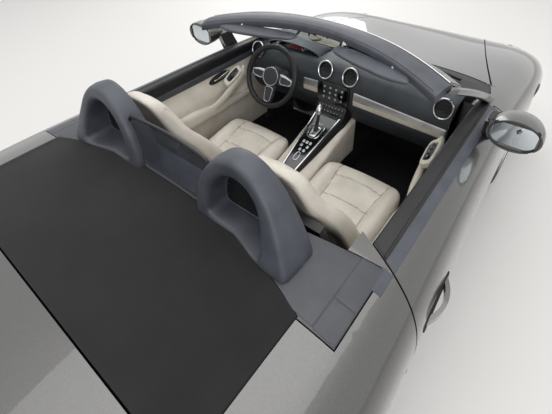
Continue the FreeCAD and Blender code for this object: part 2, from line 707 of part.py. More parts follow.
def make_frame():
    """Header and pillars round the windshield."""
    rows = []
    for share, lift in ((0.0, 0.0), (0.5, 14.0), (1.0, -8.0)):
        half = []
        for (x0, y0, z), (x1, y1) in zip(HEADER_FRONT, HEADER_BACK):
            half.append(V(x0 + share * (x1 - x0), y0 + share * (y1 - y0), z + lift))
        rows.append([V(p.x, -p.y, p.z) for p in half[:3]] + half[::-1])
    surface = Part.BSplineSurface()
    u_knots, u_counts = clamped_knots(3, 2)
    v_knots, v_counts = clamped_knots(7, 3)
    surface.buildFromPolesMultsKnots(rows, u_counts, v_counts, u_knots, v_knots, False, False, 2, 3)
    header = surface.toShape().extrude(V(0, 0, -HEADER_T))
    post = []
    for centre, length, width in ((PILLAR_FOOT, 90, 42), (PILLAR_TOP, 56, 40)):
        corners = [V(-length, -width, 0), V(length, -width, 0), V(length, width, 0), V(-length, width, 0)]
        ring = [centre + 0.5 * c for c in corners]
        post.append(Part.makePolygon(ring + ring[:1]))
    pillar = Part.makeLoft(post, True, True)
    cap = box(105, 196, 628, 668, 1112, 1140)
    pillar = pillar.fuse(cap)
    return header.fuse(both_sides(pillar)).cut(FORM)


frame = make_frame()
glass = glass.cut(FORM).cut(frame)
glass = max(glass.Solids, key=lambda solid: solid.Volume)
save("windshield_frame", frame)
save("windshield_glass", glass)

# Wipers: a pivot post on the black strip, an arm and a blade along the foot of the glass
WIPERS = [((868.0, 470.0), (905.0, -60.0)), ((918.0, -70.0), (800.0, -560.0))]


def bar(start, end, wide, tall):
    """Straight bar of a rectangular section between two points, its tall side upwards."""
    along = end - start
    side = along.cross(V(0, 0, 1)).normalize() * (wide / 2)
    up = V(0, 0, tall / 2)
    corners = [start + side + up, start - side + up, start - side - up, start + side - up, start + side + up]
    return Part.Face(Part.makePolygon(corners)).extrude(along)


wipers = []
for (post_x, post_y), (tip_x, tip_y) in WIPERS:
    post = Part.makeCylinder(13, 60, V(post_x, post_y, 840))
    start = V(post_x, post_y, 892)
    tip = V(tip_x - 22, tip_y, 892)
    wipers.append(post.fuse(bar(start, tip, 14, 12)).cut([FORM, glass, frame]))
wipers = [max(w.Solids, key=lambda solid: solid.Volume) for w in wipers]
save("wipers", Part.makeCompound(wipers))

# Header fittings: two sun visors and the inside mirror
VISOR = [(270, 112), (225, 345), (162, 500), (120, 515), (112, 430), (160, 240), (212, 108)]
VISOR_Z = (1140.0, 1160.0)
INSIDE_MIRROR_X = 352.0
INSIDE_MIRROR_HALF = 118.0
INSIDE_MIRROR_Z = (1088.0, 1146.0)


def make_visor():
    """Flat plate with a long straight front edge and rounded rear corners, left of the middle."""
    loop = [V(x, y, VISOR_Z[0]) for x, y in VISOR]
    plate = Part.Face(Part.makePolygon(loop + loop[:1])).extrude(V(0, 0, VISOR_Z[1] - VISOR_Z[0]))
    arm = box(210, 226, 300, 316, VISOR_Z[0] + 4, 1200)
    return plate.fuse(arm)


def make_inside_mirror():
    """Upright shell below the middle of the header, with its stem."""
    low, high = INSIDE_MIRROR_Z
    x = INSIDE_MIRROR_X
    shell = prism_y([(x, low), (x - 6, high), (x + 12, high), (x + 18, low + 8)], -INSIDE_MIRROR_HALF, INSIDE_MIRROR_HALF)
    return shell.fuse(box(x - 30, x + 2, -12, 12, high - 12, 1200))


visor = make_visor()
fittings = Part.makeCompound([s.cut([frame, glass]) for s in both_sides(visor) + [make_inside_mirror()]])
save("header_fittings", fittings)

# Dashboard and console
DASH_SIDE = [(755, 640), (755, 885), (640, 922), (545, 936), (508, 925)]
DASH_SIDE += [(480, 890), (460, 840), (450, 780), (450, 720), (505, 600), (620, 560)]
HOOD_X = (530.0, 700.0)
HOOD_Y = (165.0, 537.0)
HOOD_R = 300.0
HOOD_WALL = 12.0
HOOD_AXIS = V(1, 0, -0.04)
HOOD_CENTRE = V(526, 351, 667)
VENT_X = 470.0
VENT_Z = 890.0
VENT_R = (52.0, 43.0)
VENT_Y = (-583.0, -79.0, 79.0, 583.0)
dash = prism_y(DASH_SIDE, -CABIN_Y + 7, CABIN_Y - 7)
hood = Part.makeCylinder(HOOD_R, 260, HOOD_CENTRE, HOOD_AXIS)
dial_room = Part.makeCylinder(HOOD_R - HOOD_WALL, 60, HOOD_CENTRE - HOOD_AXIS * 4, HOOD_AXIS)
hood = hood.cut(dial_room.common(box(*HOOD_X, HOOD_Y[0] + HOOD_WALL, HOOD_Y[1] - HOOD_WALL, 800, 1020)))
hood_zone = box(*HOOD_X, *HOOD_Y, 880, 1020)
dash = dash.fuse(hood.common(hood_zone)).cut([glass, frame, cowl])
dash = max(dash.Solids, key=lambda solid: solid.Volume)
STEER_AXIS = V(-math.cos(math.radians(STEER_RAKE)), 0, math.sin(math.radians(STEER_RAKE)))
column_end = STEER_CENTRE - STEER_AXIS * 62
column = Part.makeCylinder(36, 150, column_end, STEER_AXIS * -1)
dash = dash.fuse(column)
for y in VENT_Y:
    ring = Part.makeCylinder(VENT_R[0], 60, V(VENT_X, y, VENT_Z), V(1, 0, -0.1))
    cup = Part.makeCylinder(VENT_R[1], 24, V(VENT_X - 4, y, VENT_Z), V(1, 0, -0.1))
    dash = dash.fuse(ring).cut(cup)
save("dashboard", dash)

# Centre console: a raised middle with the switch panel, and a lower pad along each side
CONSOLE_LOW = 380.3
CONSOLE_TOP = [(-420, 500), (-120, 512), (20, 528), (200, 592), (372, 655), (412, 668), (446, 730), (520, 730)]
PAD_TOP = [(-420, 490), (-100, 496), (30, 502), (200, 548), (372, 606), (520, 630)]
SPINE_HALF = 72.0
PAD_HALF = 120.0


def console_prism(top, half_width):
    """Block from the tunnel's top up to a line of the side view."""
    ends = [(top[-1][0], CONSOLE_LOW), (top[0][0], CONSOLE_LOW)]
    return prism_y(top + ends, -half_width, half_width)


console = console_prism(CONSOLE_TOP, SPINE_HALF).fuse(console_prism(PAD_TOP, PAD_HALF))
save("centre_console", console.cut(dash))

# Seats
SEAT_Y = 352.0
CUSHION_HALF = 225.0
BACK_HALF = 215.0
CUSHION_SIDE = [(-215, 330), (150, 330), (225, 380), (250, 500), (215, 530), (-170, 470), (-235, 440)]
BACK_SIDE = [(-240, 440.5), (-170, 470.5), (-300, 740), (-405, 985)]
BACK_SIDE += [(-448, 1085), (-478, 1108), (-520, 1096), (-480, 985), (-440, 840), (-330, 560)]
cushion = prism_y(CUSHION_SIDE, SEAT_Y - CUSHION_HALF, SEAT_Y + CUSHION_HALF)
back = prism_y(BACK_SIDE, SEAT_Y - BACK_HALF, SEAT_Y + BACK_HALF)
SHOULDER = [(-BACK_HALF, 400), (-BACK_HALF, 800), (-120, 1000), (-85, 1110)]
SHOULDER += [(85, 1110), (120, 1000), (BACK_HALF, 800), (BACK_HALF, 400)]
back = back.common(prism_x([(SEAT_Y + y, z) for y, z in SHOULDER], -700, 0))
save("seat_cushion_left", cushion)
save("seat_cushion_right", mirrored(cushion))
save("seat_back_left", back)
save("seat_back_right", mirrored(back))
FRAME_SIDE = [(-180, FLOOR_Z), (120, FLOOR_Z), (140, 329.7), (-216, 329.7), (-241, 438), (-331.5, 559)]
FRAME_SIDE += [(-441.5, 839), (-470, 930), (-500, 925), (-470, 830), (-360, 540), (-290, 400), (-250, 300)]
seat_frame = prism_y(FRAME_SIDE, SEAT_Y - 190, SEAT_Y + 190)
save("seat_frames", Part.makeCompound(both_sides(seat_frame)))

# Roll hoops on their fairing, wind deflector between them
HOOP_WALL = 12.0
HOOP_OUT = [(158, 880), (158, 930), (205, 1110), (344, 1207), (500, 1100), (560, 930), (560, 880)]


def hoop_side():
    """Left hoop: a round arch with a deep recess in its rear face."""
    x0, x1 = HOOP_X
    outer = [V(x0, y, z) for y, z in HOOP_OUT]
    edges = [Part.LineSegment(outer[0], outer[1]).toShape()]
    edges.append(Part.Arc(outer[1], outer[2], outer[3]).toShape())
    edges.append(Part.Arc(outer[3], outer[4], outer[5]).toShape())
    edges.append(Part.LineSegment(outer[5], outer[6]).toShape())
    edges.append(Part.LineSegment(outer[6], outer[0]).toShape())
    solid = Part.Face(Part.Wire(edges)).extrude(V(x1 - x0, 0, 0))
    hole = [V(x0 - 20, y, z) for y, z in ((215, 944), (235, 1060), (345, 1140), (445, 1060), (470, 944))]
    inner = [Part.LineSegment(hole[0], hole[1]).toShape(), Part.Arc(hole[1], hole[2], hole[3]).toShape()]
    inner += [Part.LineSegment(hole[3], hole[4]).toShape(), Part.LineSegment(hole[4], hole[0]).toShape()]
    return solid.cut(Part.Face(Part.Wire(inner)).extrude(V(x1 - x0 + 20 - HOOP_WALL, 0, 0)))


hoop = hoop_side().cut(box(-900, 0, 497, 700, 0, 944))
plinth = skin_of(plinth_outline(0), SKIN).cut(soft_top_outline(PANEL_GAP).cut(both_sides(hoop_foot)))
hoops = plinth.fuse([s.cut(UNDER_SKIN) for s in both_sides(hoop)])
save("roll_hoops", hoops)
DEFLECTOR = [(-150, 944), (-205, 1105), (0, 1130), (205, 1105), (150, 944)]
pane_points = [V(-622, y, z) for y, z in DEFLECTOR]
pane_edges = [Part.LineSegment(pane_points[0], pane_points[1]).toShape()]
pane_edges.append(Part.Arc(*pane_points[1:4]).toShape())
pane_edges.append(Part.LineSegment(pane_points[3], pane_points[4]).toShape())
pane_edges.append(Part.LineSegment(pane_points[4], pane_points[0]).toShape())
pane = Part.Face(Part.Wire(pane_edges)).extrude(V(8, 0, 0))
foot_bar = box(-630, -606, -140, 140, 900, 944)
save("wind_deflector", pane.fuse(foot_bar).cut([FORM, hoops]))

# Steering wheel
steer = Part.makeTorus(STEER_RIM_R - STEER_TUBE_R, STEER_TUBE_R, STEER_CENTRE, STEER_AXIS)
hub = Part.makeCylinder(62, 40, STEER_CENTRE - STEER_AXIS * 50, STEER_AXIS)
for turn in (0, 180, 270):
    spoke = box(40, STEER_RIM_R - 12, -17, 17, -7, 7)
    spoke.rotate(V(0, 0, 0), V(0, 0, 1), turn)
    spoke.rotate(V(0, 0, 0), V(0, 0, 1), 90)
    spoke.rotate(V(0, 0, 0), V(0, 1, 0), -(90 - STEER_RAKE))
    spoke.translate(STEER_CENTRE - STEER_AXIS * 18)
    hub = hub.fuse(spoke)
boss = Part.makeCylinder(30, 30, STEER_CENTRE - STEER_AXIS * 61.5, STEER_AXIS)
save("steering_wheel", steer.fuse([hub, boss]))

# Wheels and tyres
STUB_R = 20.0
HUB_R = 62.0
DISC_R = 160.0


def revolve_y(points):
    """Ring profile of (y, radius) points turned about the y axis."""
    face = Part.Face(Part.makePolygon([V(r, y, 0) for y, r in points + points[:1]]))
    return face.revolve(V(0, 0, 0), V(0, 1, 0), 360)


def make_tyre(radius, width):
    """Tyre about the y axis, outer face towards +y, with round shoulders."""
    half = width / 2
    inner = RIM_R + TYRE_SEAT
    ring = [(-half + 12, inner), (-half, inner + 22), (-half, radius - 42), (-half + 10, radius - 14)]
    ring += [(-half + 32, radius), (half - 32, radius), (half - 10, radius - 14), (half, radius - 42)]
    ring += [(half, inner + 22), (half - 12, inner)]
    return revolve_y(ring)


SPOKE_ROOT_Y = 18.0
SPOKE_TIP_Y = 34.0


def spoke_section(middle, half_width, back, front, reach):
    """Four-cornered section of a spoke at a distance from the axle."""
    corners = [(-1, back), (1, back), (1, front), (-1, front), (-1, back)]
    return Part.makePolygon([V(middle + side * half_width, y, reach) for side, y in corners])


def make_wheel(width):
    """Rim, ten spokes in five pairs, hub and brake disc about the y axis."""
    half = width / 2 - 6
    r1 = RIM_R
    r0 = RIM_R - RIM_WALL
    barrel = revolve_y([(-half, r0), (-half, r1), (half, r1), (half, r0)])
    bore_r = STUB_R + 0.5
    hub_body = revolve_y([(-20, bore_r), (-20, HUB_R), (half - 30, 74), (half - 18, 60), (half - 18, bore_r)])
    cap = Part.makeCylinder(34, 10, V(0, half - 22, 0), V(0, 1, 0))
    disc = revolve_y([(-20, HUB_R - 4), (-20, DISC_R), (6, DISC_R), (6, HUB_R - 4)])
    parts = [hub_body, cap, disc]
    for i in range(5):
        for lean in (-1, 1):
            low = spoke_section(SPOKE_ROOT_Y * lean, 14, half - 44, half - 20, 50)
            top = spoke_section(SPOKE_TIP_Y * lean, 11, half - 30, half - 4, r0 + 4)
            spoke = Part.makeLoft([low, top], True, True)
            spoke.rotate(V(0, 0, 0), V(0, 1, 0), 72 * i)
            parts.append(spoke)
    return barrel.fuse(parts)


WHEELS = [
    ("front_left", FRONT_AXLE_X, FRONT_TRACK_Y, FRONT_TYRE_R, FRONT_TYRE_W, 1),
    ("front_right", FRONT_AXLE_X, FRONT_TRACK_Y, FRONT_TYRE_R, FRONT_TYRE_W, -1),
    ("rear_left", REAR_AXLE_X, REAR_TRACK_Y, REAR_TYRE_R, REAR_TYRE_W, 1),
    ("rear_right", REAR_AXLE_X, REAR_TRACK_Y, REAR_TYRE_R, REAR_TYRE_W, -1),
]
for name, x, y, radius, width, side in WHEELS:
    for kind, shape in (("tyre_", make_tyre(radius, width)), ("wheel_", make_wheel(width))):
        shape.translate(V(x, y, radius))
        save(kind + name, shape if side > 0 else mirrored(shape))

# Knuckles carry the front wheels and turn about upright kingpins
ARM_Z = 190.0
ARM_T = 22.0
TOP_ARM_Z = 480.0


def caliper(x, y, z):
    """Brake caliper behind the axle, straddling the disc."""
    block = box(x - 200, x - 105, y - 42, y + 28, z - 62, z + 62)
    slot = box(x - 170, x - 100, y - 26, y + 12, z - 63, z + 63)
    return block.cut(slot)


def make_knuckle():
    """Left front upright with its stub axle and caliper."""
    z = FRONT_TYRE_R
    low = ARM_Z + ARM_T + 0.5
    high = TOP_ARM_Z - 0.5
    upright = Part.makeCylinder(KINGPIN_R + 9, high - low, V(FRONT_AXLE_X, KINGPIN_Y, low))
    kingpin = Part.makeCylinder(KINGPIN_R, TOP_ARM_Z + ARM_T - ARM_Z, V(FRONT_AXLE_X, KINGPIN_Y, ARM_Z))
    upright = upright.fuse(kingpin)
    stub = cylinder_y(FRONT_AXLE_X, z, STUB_R, KINGPIN_Y, FRONT_TRACK_Y + 70)
    carrier = cylinder_y(FRONT_AXLE_X, z, 50, KINGPIN_Y - 20, KINGPIN_Y + 35)
    bracket = box(FRONT_AXLE_X - 190, FRONT_AXLE_X, KINGPIN_Y, KINGPIN_Y + 25, z - 25, z + 25)
    return upright.fuse([stub, carrier, bracket, caliper(FRONT_AXLE_X, FRONT_TRACK_Y, z)])


knuckle = make_knuckle()
save("knuckle_left", knuckle)
save("knuckle_right", mirrored(knuckle))


def make_front_suspension():
    """Left lower arm, upper arm and spring strut, joined to the inner shell's side."""
    x = FRONT_AXLE_X
    arm = prism_z([
        [(x - 130, FRONT_ARCH_Y), (x - 30, KINGPIN_Y + 25)],
        [(x - 30, KINGPIN_Y + 25), (x + 30, KINGPIN_Y + 25)],
        [(x + 30, KINGPIN_Y + 25), (x + 130, FRONT_ARCH_Y)],
        [(x + 130, FRONT_ARCH_Y), (x - 130, FRONT_ARCH_Y)],
    ], ARM_Z, ARM_Z + ARM_T)
    top_arm = arm.translated(V(0, 0, TOP_ARM_Z - ARM_Z)).cut(box(x - 45, x + 45, 500, 600, 400, 600))
    strut = Part.makeCylinder(24, 470, V(x, 550, ARM_Z + 10), V(0, -0.05, 1))
    spring = Part.makeCylinder(44, 170, V(x, 542, 510), V(0, -0.05, 1))
    eye = Part.makeCylinder(KINGPIN_R + PIN_PLAY, 600, V(x, KINGPIN_Y, 0))
    return arm.fuse([top_arm, strut, spring]).cut([fender, eye])


front_suspension = make_front_suspension()
save("front_suspension", Part.makeCompound(both_sides(front_suspension)))


GEARBOX_Y = 150.0


def make_rear_suspension():
    """Left rear upright, stub, arms, strut and drive shaft."""
    x = REAR_AXLE_X
    z = REAR_TYRE_R
    upright = box(x - 32, x + 32, KINGPIN_Y - 15, KINGPIN_Y + 15, 200, 500)
    stub = cylinder_y(x, z, STUB_R, KINGPIN_Y, REAR_TRACK_Y + 75)
    carrier = cylinder_y(x, z, 52, KINGPIN_Y - 20, KINGPIN_Y + 35)
    bracket = box(x - 190, x, KINGPIN_Y, REAR_TRACK_Y - 30, z - 25, z + 25)
    parts = [stub, carrier, bracket, caliper(x, REAR_TRACK_Y, z)]
    for arm_z, reach in ((200, 120), (478, 70)):
        parts.append(prism_z([
            [(x - reach, REAR_ARCH_Y), (x - 30, KINGPIN_Y)],
            [(x - 30, KINGPIN_Y), (x + 30, KINGPIN_Y)],
            [(x + 30, KINGPIN_Y), (x + reach, REAR_ARCH_Y)],
            [(x + reach, REAR_ARCH_Y), (x - reach, REAR_ARCH_Y)],
        ], arm_z, arm_z + ARM_T))
    parts.append(cylinder_y(x, z, SHAFT_R, GEARBOX_Y + SEAT_GAP, KINGPIN_Y))
    return upright.fuse(parts)


rear_suspension = make_rear_suspension()
save("rear_suspension", Part.makeCompound(both_sides(rear_suspension)))

# Engine block and exhaust
ENGINE_REAR_X = -1180.0
GEARBOX_REAR_X = -1420.0
engine = box(ENGINE_REAR_X, -580 - SEAT_GAP, -300, 300, 175, 560)
engine = engine.fuse(box(GEARBOX_REAR_X, ENGINE_REAR_X, -GEARBOX_Y, GEARBOX_Y, 200, 440))
save("engine", engine)
muffler = box(-1960, -1700, -380, 380, 190, PIPE_BAY_Z - SEAT_GAP)
for y in (-90.0, 90.0):
    run = GEARBOX_REAR_X - SEAT_GAP + 1700
    start = V(GEARBOX_REAR_X - SEAT_GAP, y, PIPE_Z)
    muffler = muffler.fuse(Part.makeCylinder(30, run, start, V(-1, 0, 0)))
tips = []
for y in (-56.0, 56.0):
    outer = Part.makeCylinder(PIPE_R, 170, V(-1950, y, PIPE_Z), V(-1, 0, 0))
    tips.append(outer.cut(Part.makeCylinder(PIPE_R - 4, 165, V(-1960, y, PIPE_Z), V(-1, 0, 0))))
save("exhaust", muffler.fuse(tips))
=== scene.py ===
import bpy
import bmesh
import math
import numpy as np
from mathutils import Matrix, Vector


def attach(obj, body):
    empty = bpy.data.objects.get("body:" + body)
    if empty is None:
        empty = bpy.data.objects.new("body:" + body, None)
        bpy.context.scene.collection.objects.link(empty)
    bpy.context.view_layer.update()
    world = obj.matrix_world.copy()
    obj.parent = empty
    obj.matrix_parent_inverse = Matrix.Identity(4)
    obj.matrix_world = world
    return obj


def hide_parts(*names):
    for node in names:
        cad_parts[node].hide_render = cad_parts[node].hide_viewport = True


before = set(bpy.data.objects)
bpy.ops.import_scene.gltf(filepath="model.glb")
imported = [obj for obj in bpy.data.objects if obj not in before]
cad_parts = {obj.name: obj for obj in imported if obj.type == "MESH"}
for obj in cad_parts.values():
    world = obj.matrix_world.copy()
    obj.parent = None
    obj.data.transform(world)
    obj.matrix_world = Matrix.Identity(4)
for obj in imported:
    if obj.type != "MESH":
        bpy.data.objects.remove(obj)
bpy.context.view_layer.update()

# Camera: it stands behind the right rear corner, above head height, and looks down into the
# open cabin. The view is a plain wide lens; the shift only keeps the photograph's framing.
CAMERA_AT = Vector((-1.104, -0.9287, 1.8539))
CAMERA_FORWARD = Vector((0.60096, 0.49524, -0.62736))
CAMERA_ROLL = math.radians(-2.14)
CAMERA_LENS = 23.967
PHOTO_SIZE = (552, 414)
PRINCIPAL_POINT = (288.51, 145.43)


def make_camera():
    """Camera that looks along CAMERA_FORWARD, rolled about that line."""
    data = bpy.data.cameras.new("camera")
    data.lens = CAMERA_LENS
    data.sensor_width = 36.0
    data.shift_x = (PHOTO_SIZE[0] / 2 - PRINCIPAL_POINT[0]) / PHOTO_SIZE[0]
    data.shift_y = (PRINCIPAL_POINT[1] - PHOTO_SIZE[1] / 2) / PHOTO_SIZE[0]
    data.clip_start = 0.05
    camera = bpy.data.objects.new("camera", data)
    bpy.context.scene.collection.objects.link(camera)
    turn = CAMERA_FORWARD.to_track_quat("-Z", "Y").to_matrix().to_4x4()
    camera.matrix_world = Matrix.Translation(CAMERA_AT) @ turn @ Matrix.Rotation(CAMERA_ROLL, 4, "Z")
    bpy.context.scene.camera = camera


make_camera()
bpy.context.scene.view_settings.view_transform = "Standard"

# Studio: a pale floor, a bright even world and three large soft lamps. The world looks white
# to the camera and in reflections, and lights the car at a plain level.
FLOOR_COLOUR = (0.80, 0.79, 0.77, 1)
WORLD_LIGHT = 0.55
LAMPS = [
    # place, size, power
    ((0.0, 0.0, 6.5), 7.0, 260.0),
    ((-5.0, -5.0, 4.0), 4.0, 140.0),
    ((5.5, 4.0, 3.5), 4.0, 120.0),
]


def make_studio():
    """Floor, world and lamps."""
    side = 60.0
    mesh = bpy.data.meshes.new("floor")
    corners = [(-side, -side, -0.002), (side, -side, -0.002), (side, side, -0.002), (-side, side, -0.002)]
    mesh.from_pydata(corners, [], [(0, 1, 2, 3)])
    floor = bpy.data.objects.new("floor", mesh)
    bpy.context.scene.collection.objects.link(floor)
    material = bpy.data.materials.new("studio_floor")
    material.use_nodes = True
    shader = material.node_tree.nodes["Principled BSDF"]
    shader.inputs["Base Color"].default_value = FLOOR_COLOUR
    shader.inputs["Roughness"].default_value = 0.6
    mesh.materials.append(material)
    world = bpy.data.worlds.new("studio")
    bpy.context.scene.world = world
    world.use_nodes = True
    nodes, links = world.node_tree.nodes, world.node_tree.links
    path = nodes.new("ShaderNodeLightPath")
    seen = nodes.new("ShaderNodeMath")
    seen.operation = "MAXIMUM"
    strength = nodes.new("ShaderNodeMapRange")
    strength.inputs["To Min"].default_value = WORLD_LIGHT
    strength.inputs["To Max"].default_value = 1.0
    links.new(path.outputs["Is Camera Ray"], seen.inputs[0])
    links.new(path.outputs["Is Glossy Ray"], seen.inputs[1])
    links.new(seen.outputs[0], strength.inputs["Value"])
    background = nodes["Background"]
    background.inputs["Color"].default_value = (1, 1, 1, 1)
    links.new(strength.outputs["Result"], background.inputs["Strength"])
    for number, (place, size, power) in enumerate(LAMPS):
        lamp = bpy.data.lights.new("soft_lamp_%d" % number, "AREA")
        lamp.size = size
        lamp.energy = power
        holder = bpy.data.objects.new(lamp.name, lamp)
        bpy.context.scene.collection.objects.link(holder)
        look = (Vector((0, 0, 0.5)) - Vector(place)).to_track_quat("-Z", "Y").to_matrix().to_4x4()
        holder.matrix_world = Matrix.Translation(place) @ look


make_studio()

# Outer sheet of the body: one surface in the metal from which lids, doors, fenders and bumpers
# are cut. Trim, covers and seams that follow the body take their height and slope from it. Its
# control points are the body's own sections, in millimetres.
MM = 0.001
BODY_BOTTOM = 140.0
SILL_Z = 230.0
BODY_SECTIONS = np.array([
    # x, top z, crown y z, widest y z, sill y
    (2189.5, 545, 330, 520, 400, 400, 400),
    (2165, 575, 430, 545, 560, 400, 520),
    (2110, 605, 540, 580, 690, 405, 640),
    (2010, 650, 630, 640, 790, 420, 740),
    (1860, 695, 665, 715, 855, 460, 800),
    (1640, 735, 695, 785, 885, 520, 830),
    (1400, 770, 715, 825, 893, 560, 840),
    (1130, 815, 730, 850, 892, 580, 840),
    (860, 868, 745, 880, 884, 590, 835),
    (560, 898, 758, 903, 880, 600, 832),
    (150, 910, 765, 912, 886, 600, 835),
    (-300, 915, 770, 915, 900, 600, 845),
    (-620, 935, 772, 922, 913, 600, 855),
    (-900, 945, 765, 925, 918, 600, 860),
    (-1213, 935, 752, 918, 918, 590, 860),
    (-1500, 915, 735, 898, 912, 580, 850),
    (-1750, 890, 705, 870, 890, 570, 830),
    (-1950, 855, 665, 835, 840, 560, 790),
    (-2080, 790, 590, 780, 765, 550, 710),
    (-2150, 700, 500, 700, 620, 530, 560),
    (-2189.5, 600, 400, 600, 460, 500, 430),
], dtype=float)


def section_grid():
    """Control points (station, across, xyz): each half section and its mirror image."""
    x, top, crown_y, crown_z, wide_y, wide_z, sill_y = BODY_SECTIONS.T
    drop = crown_z - wide_z
    half = np.stack([
        np.stack([x, 0 * x, top], 1),
        np.stack([x, 0.5 * crown_y, top + 0.2 * (crown_z - top)], 1),
        np.stack([x, crown_y, crown_z], 1),
        np.stack([x, crown_y + 0.85 * (wide_y - crown_y), crown_z - 0.25 * drop], 1),
        np.stack([x, wide_y + 6, wide_z + 0.35 * drop], 1),
        np.stack([x, wide_y, wide_z - 0.15 * drop], 1),
        np.stack([x, sill_y + 0.2 * (wide_y - sill_y), SILL_Z + 0.35 * (wide_z - SILL_Z)], 1),
        np.stack([x, sill_y + 6, 0 * x + SILL_Z], 1),
        np.stack([x, sill_y - 30, 0 * x + BODY_BOTTOM], 1),
    ], 1)
    return np.concatenate([half[:, :0:-1] * (1, -1, 1), half], 1)


def spline_weights(t, count, degree=3):
    """Weights of the control points of a clamped even B-spline, by the Cox-de Boor rule."""
    inner = np.linspace(0, 1, count - degree + 1)
    knots = np.concatenate([np.zeros(degree), inner, np.ones(degree)])
    t = np.clip(np.asarray(t, float), 0, 1 - 1e-12)[:, None]
    weights = ((knots[:-1] <= t) & (t < knots[1:])).astype(float)
    for order in range(1, degree + 1):
        size = len(knots) - 1 - order
        low, high = knots[:size], knots[order:order + size]
        next_low, next_high = knots[1:size + 1], knots[order + 1:order + 1 + size]
        rise = np.where(high > low, (t - low) / np.where(high > low, high - low, 1), 0)
        fall = np.where(next_high > next_low,
                        (next_high - t) / np.where(next_high > next_low, next_high - next_low, 1), 0)
        weights = rise * weights[:, :size] + fall * weights[:, 1:size + 1]
    return weights


POLES = section_grid()
U_TABLE = np.linspace(0, 1, 4001)
X_TABLE = spline_weights(U_TABLE, len(POLES)) @ BODY_SECTIONS[:, 0]
V_TABLE = np.linspace(0, 1, 801)
V_WEIGHTS = spline_weights(V_TABLE, POLES.shape[1])


def across_at(x):
    """The sheet's cross sections at lengthwise places x: points (place, round the section, yz)."""
    u = np.interp(-np.ravel(x).astype(float), -X_TABLE, U_TABLE)
    return np.einsum("ni,jm,imk->njk", spline_weights(u, POLES.shape[0]), V_WEIGHTS, POLES[..., 1:])


MAP_X = np.linspace(-2185, 2185, 438)
MAP_Y = np.linspace(0, 900, 301)
TOP_MAP = np.stack([np.interp(MAP_Y, row[400:601, 0], row[400:601, 1]) for row in across_at(MAP_X)])


def top_z(x, y):
    """Height of the sheet's upper side over plan points (x, y), read between the four nearest in a table."""
    x, y = np.broadcast_arrays(np.asarray(x, float), np.abs(np.asarray(y, float)))
    i = np.clip((x - MAP_X[0]) / (MAP_X[1] - MAP_X[0]), 0, len(MAP_X) - 1.001)
    j = np.clip(y / MAP_Y[1], 0, len(MAP_Y) - 1.001)
    i0, j0 = i.astype(int), j.astype(int)
    a, b = i - i0, j - j0
    low = TOP_MAP[i0, j0] * (1 - b) + TOP_MAP[i0, j0 + 1] * b
    high = TOP_MAP[i0 + 1, j0] * (1 - b) + TOP_MAP[i0 + 1, j0 + 1] * b
    return low * (1 - a) + high * a


def side_y(x, z):
    """Half width of the sheet at side points (x, z)."""
    x, z = np.broadcast_arrays(np.asarray(x, float), np.asarray(z, float))
    rows = across_at(x)
    low = slice(560, 801)
    width = [np.interp(-want, -row[low, 1], row[low, 0]) for want, row in zip(z.ravel(), rows)]
    return np.array(width).reshape(x.shape)


def grid_faces(rows, cols, wrap=False):
    """Quads of a grid of points numbered row by row; wrap joins the last column to the first."""
    r, c = np.meshgrid(np.arange(rows - 1), np.arange(cols if wrap else cols - 1), indexing="ij")
    d = (c + 1) % cols
    return np.stack([r * cols + c, r * cols + d, (r + 1) * cols + d, (r + 1) * cols + c], -1).reshape(-1, 4)


def sheet_part(points):
    """A grid of points (rows, columns, xyz) and its quads."""
    return points.reshape(-1, 3), grid_faces(points.shape[0], points.shape[1])


def loft_part(rings, wrap=True, caps=(True, True)):
    """Rings of points (ring, round, xyz) joined by quads, with each end closed by a fan to its middle."""
    rings = np.asarray(rings, float)
    count, around = rings.shape[:2]
    points, faces = rings.reshape(-1, 3), grid_faces(count, around, wrap).tolist()
    for use, first, row in ((caps[0], 0, rings[0]), (caps[1], (count - 1) * around, rings[-1])):
        if use:
            points = np.vstack([points, row.mean(0)])
            middle = len(points) - 1
            faces += [[first + i, first + (i + 1) % around, middle] for i in range(around)]
    return points, faces


def put_mesh(name, parts, material, body="body", slot=None, facing=None, sharp=35.0):
    """One piece from parts (points in mm, faces). Closed forms face outwards, open sheets along facing.
    It rides on a body. Its slot, that of its material unless one is given, is looked up but not used."""
    bm = bmesh.new()
    for points, faces in parts:
        made = [bm.verts.new(p) for p in (np.asarray(points, float) * MM).tolist()]
        for face in (faces.tolist() if isinstance(faces, np.ndarray) else faces):
            if len(set(face)) > 2:
                bm.faces.new([made[i] for i in face])
    bmesh.ops.remove_doubles(bm, verts=bm.verts, dist=2e-6)
    loose = [v for v in bm.verts if not v.link_faces]
    bmesh.ops.delete(bm, geom=loose, context="VERTS")
    bmesh.ops.recalc_face_normals(bm, faces=bm.faces)
    if facing is not None:
        if sum((f.normal * f.calc_area() for f in bm.faces), Vector()).dot(Vector(facing)) < 0:
            bmesh.ops.reverse_faces(bm, faces=bm.faces)
    mesh = bpy.data.meshes.new(name)
    bm.to_mesh(mesh)
    bm.free()
    mesh.polygons.foreach_set("use_smooth", np.ones(len(mesh.polygons), bool))
    mesh.set_sharp_from_angle(angle=math.radians(sharp))
    mesh.materials.append(material)
    piece = bpy.data.objects.new(name, mesh)
    bpy.context.scene.collection.objects.link(piece)
    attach(piece, body)
    slot = slot or SLOT_OF.get(material.name.split(".")[0])
    return piece


def mirrored(parts):
    """The same parts on the car's right side."""
    return [(np.asarray(points, float) * (1, -1, 1), faces) for points, faces in parts]


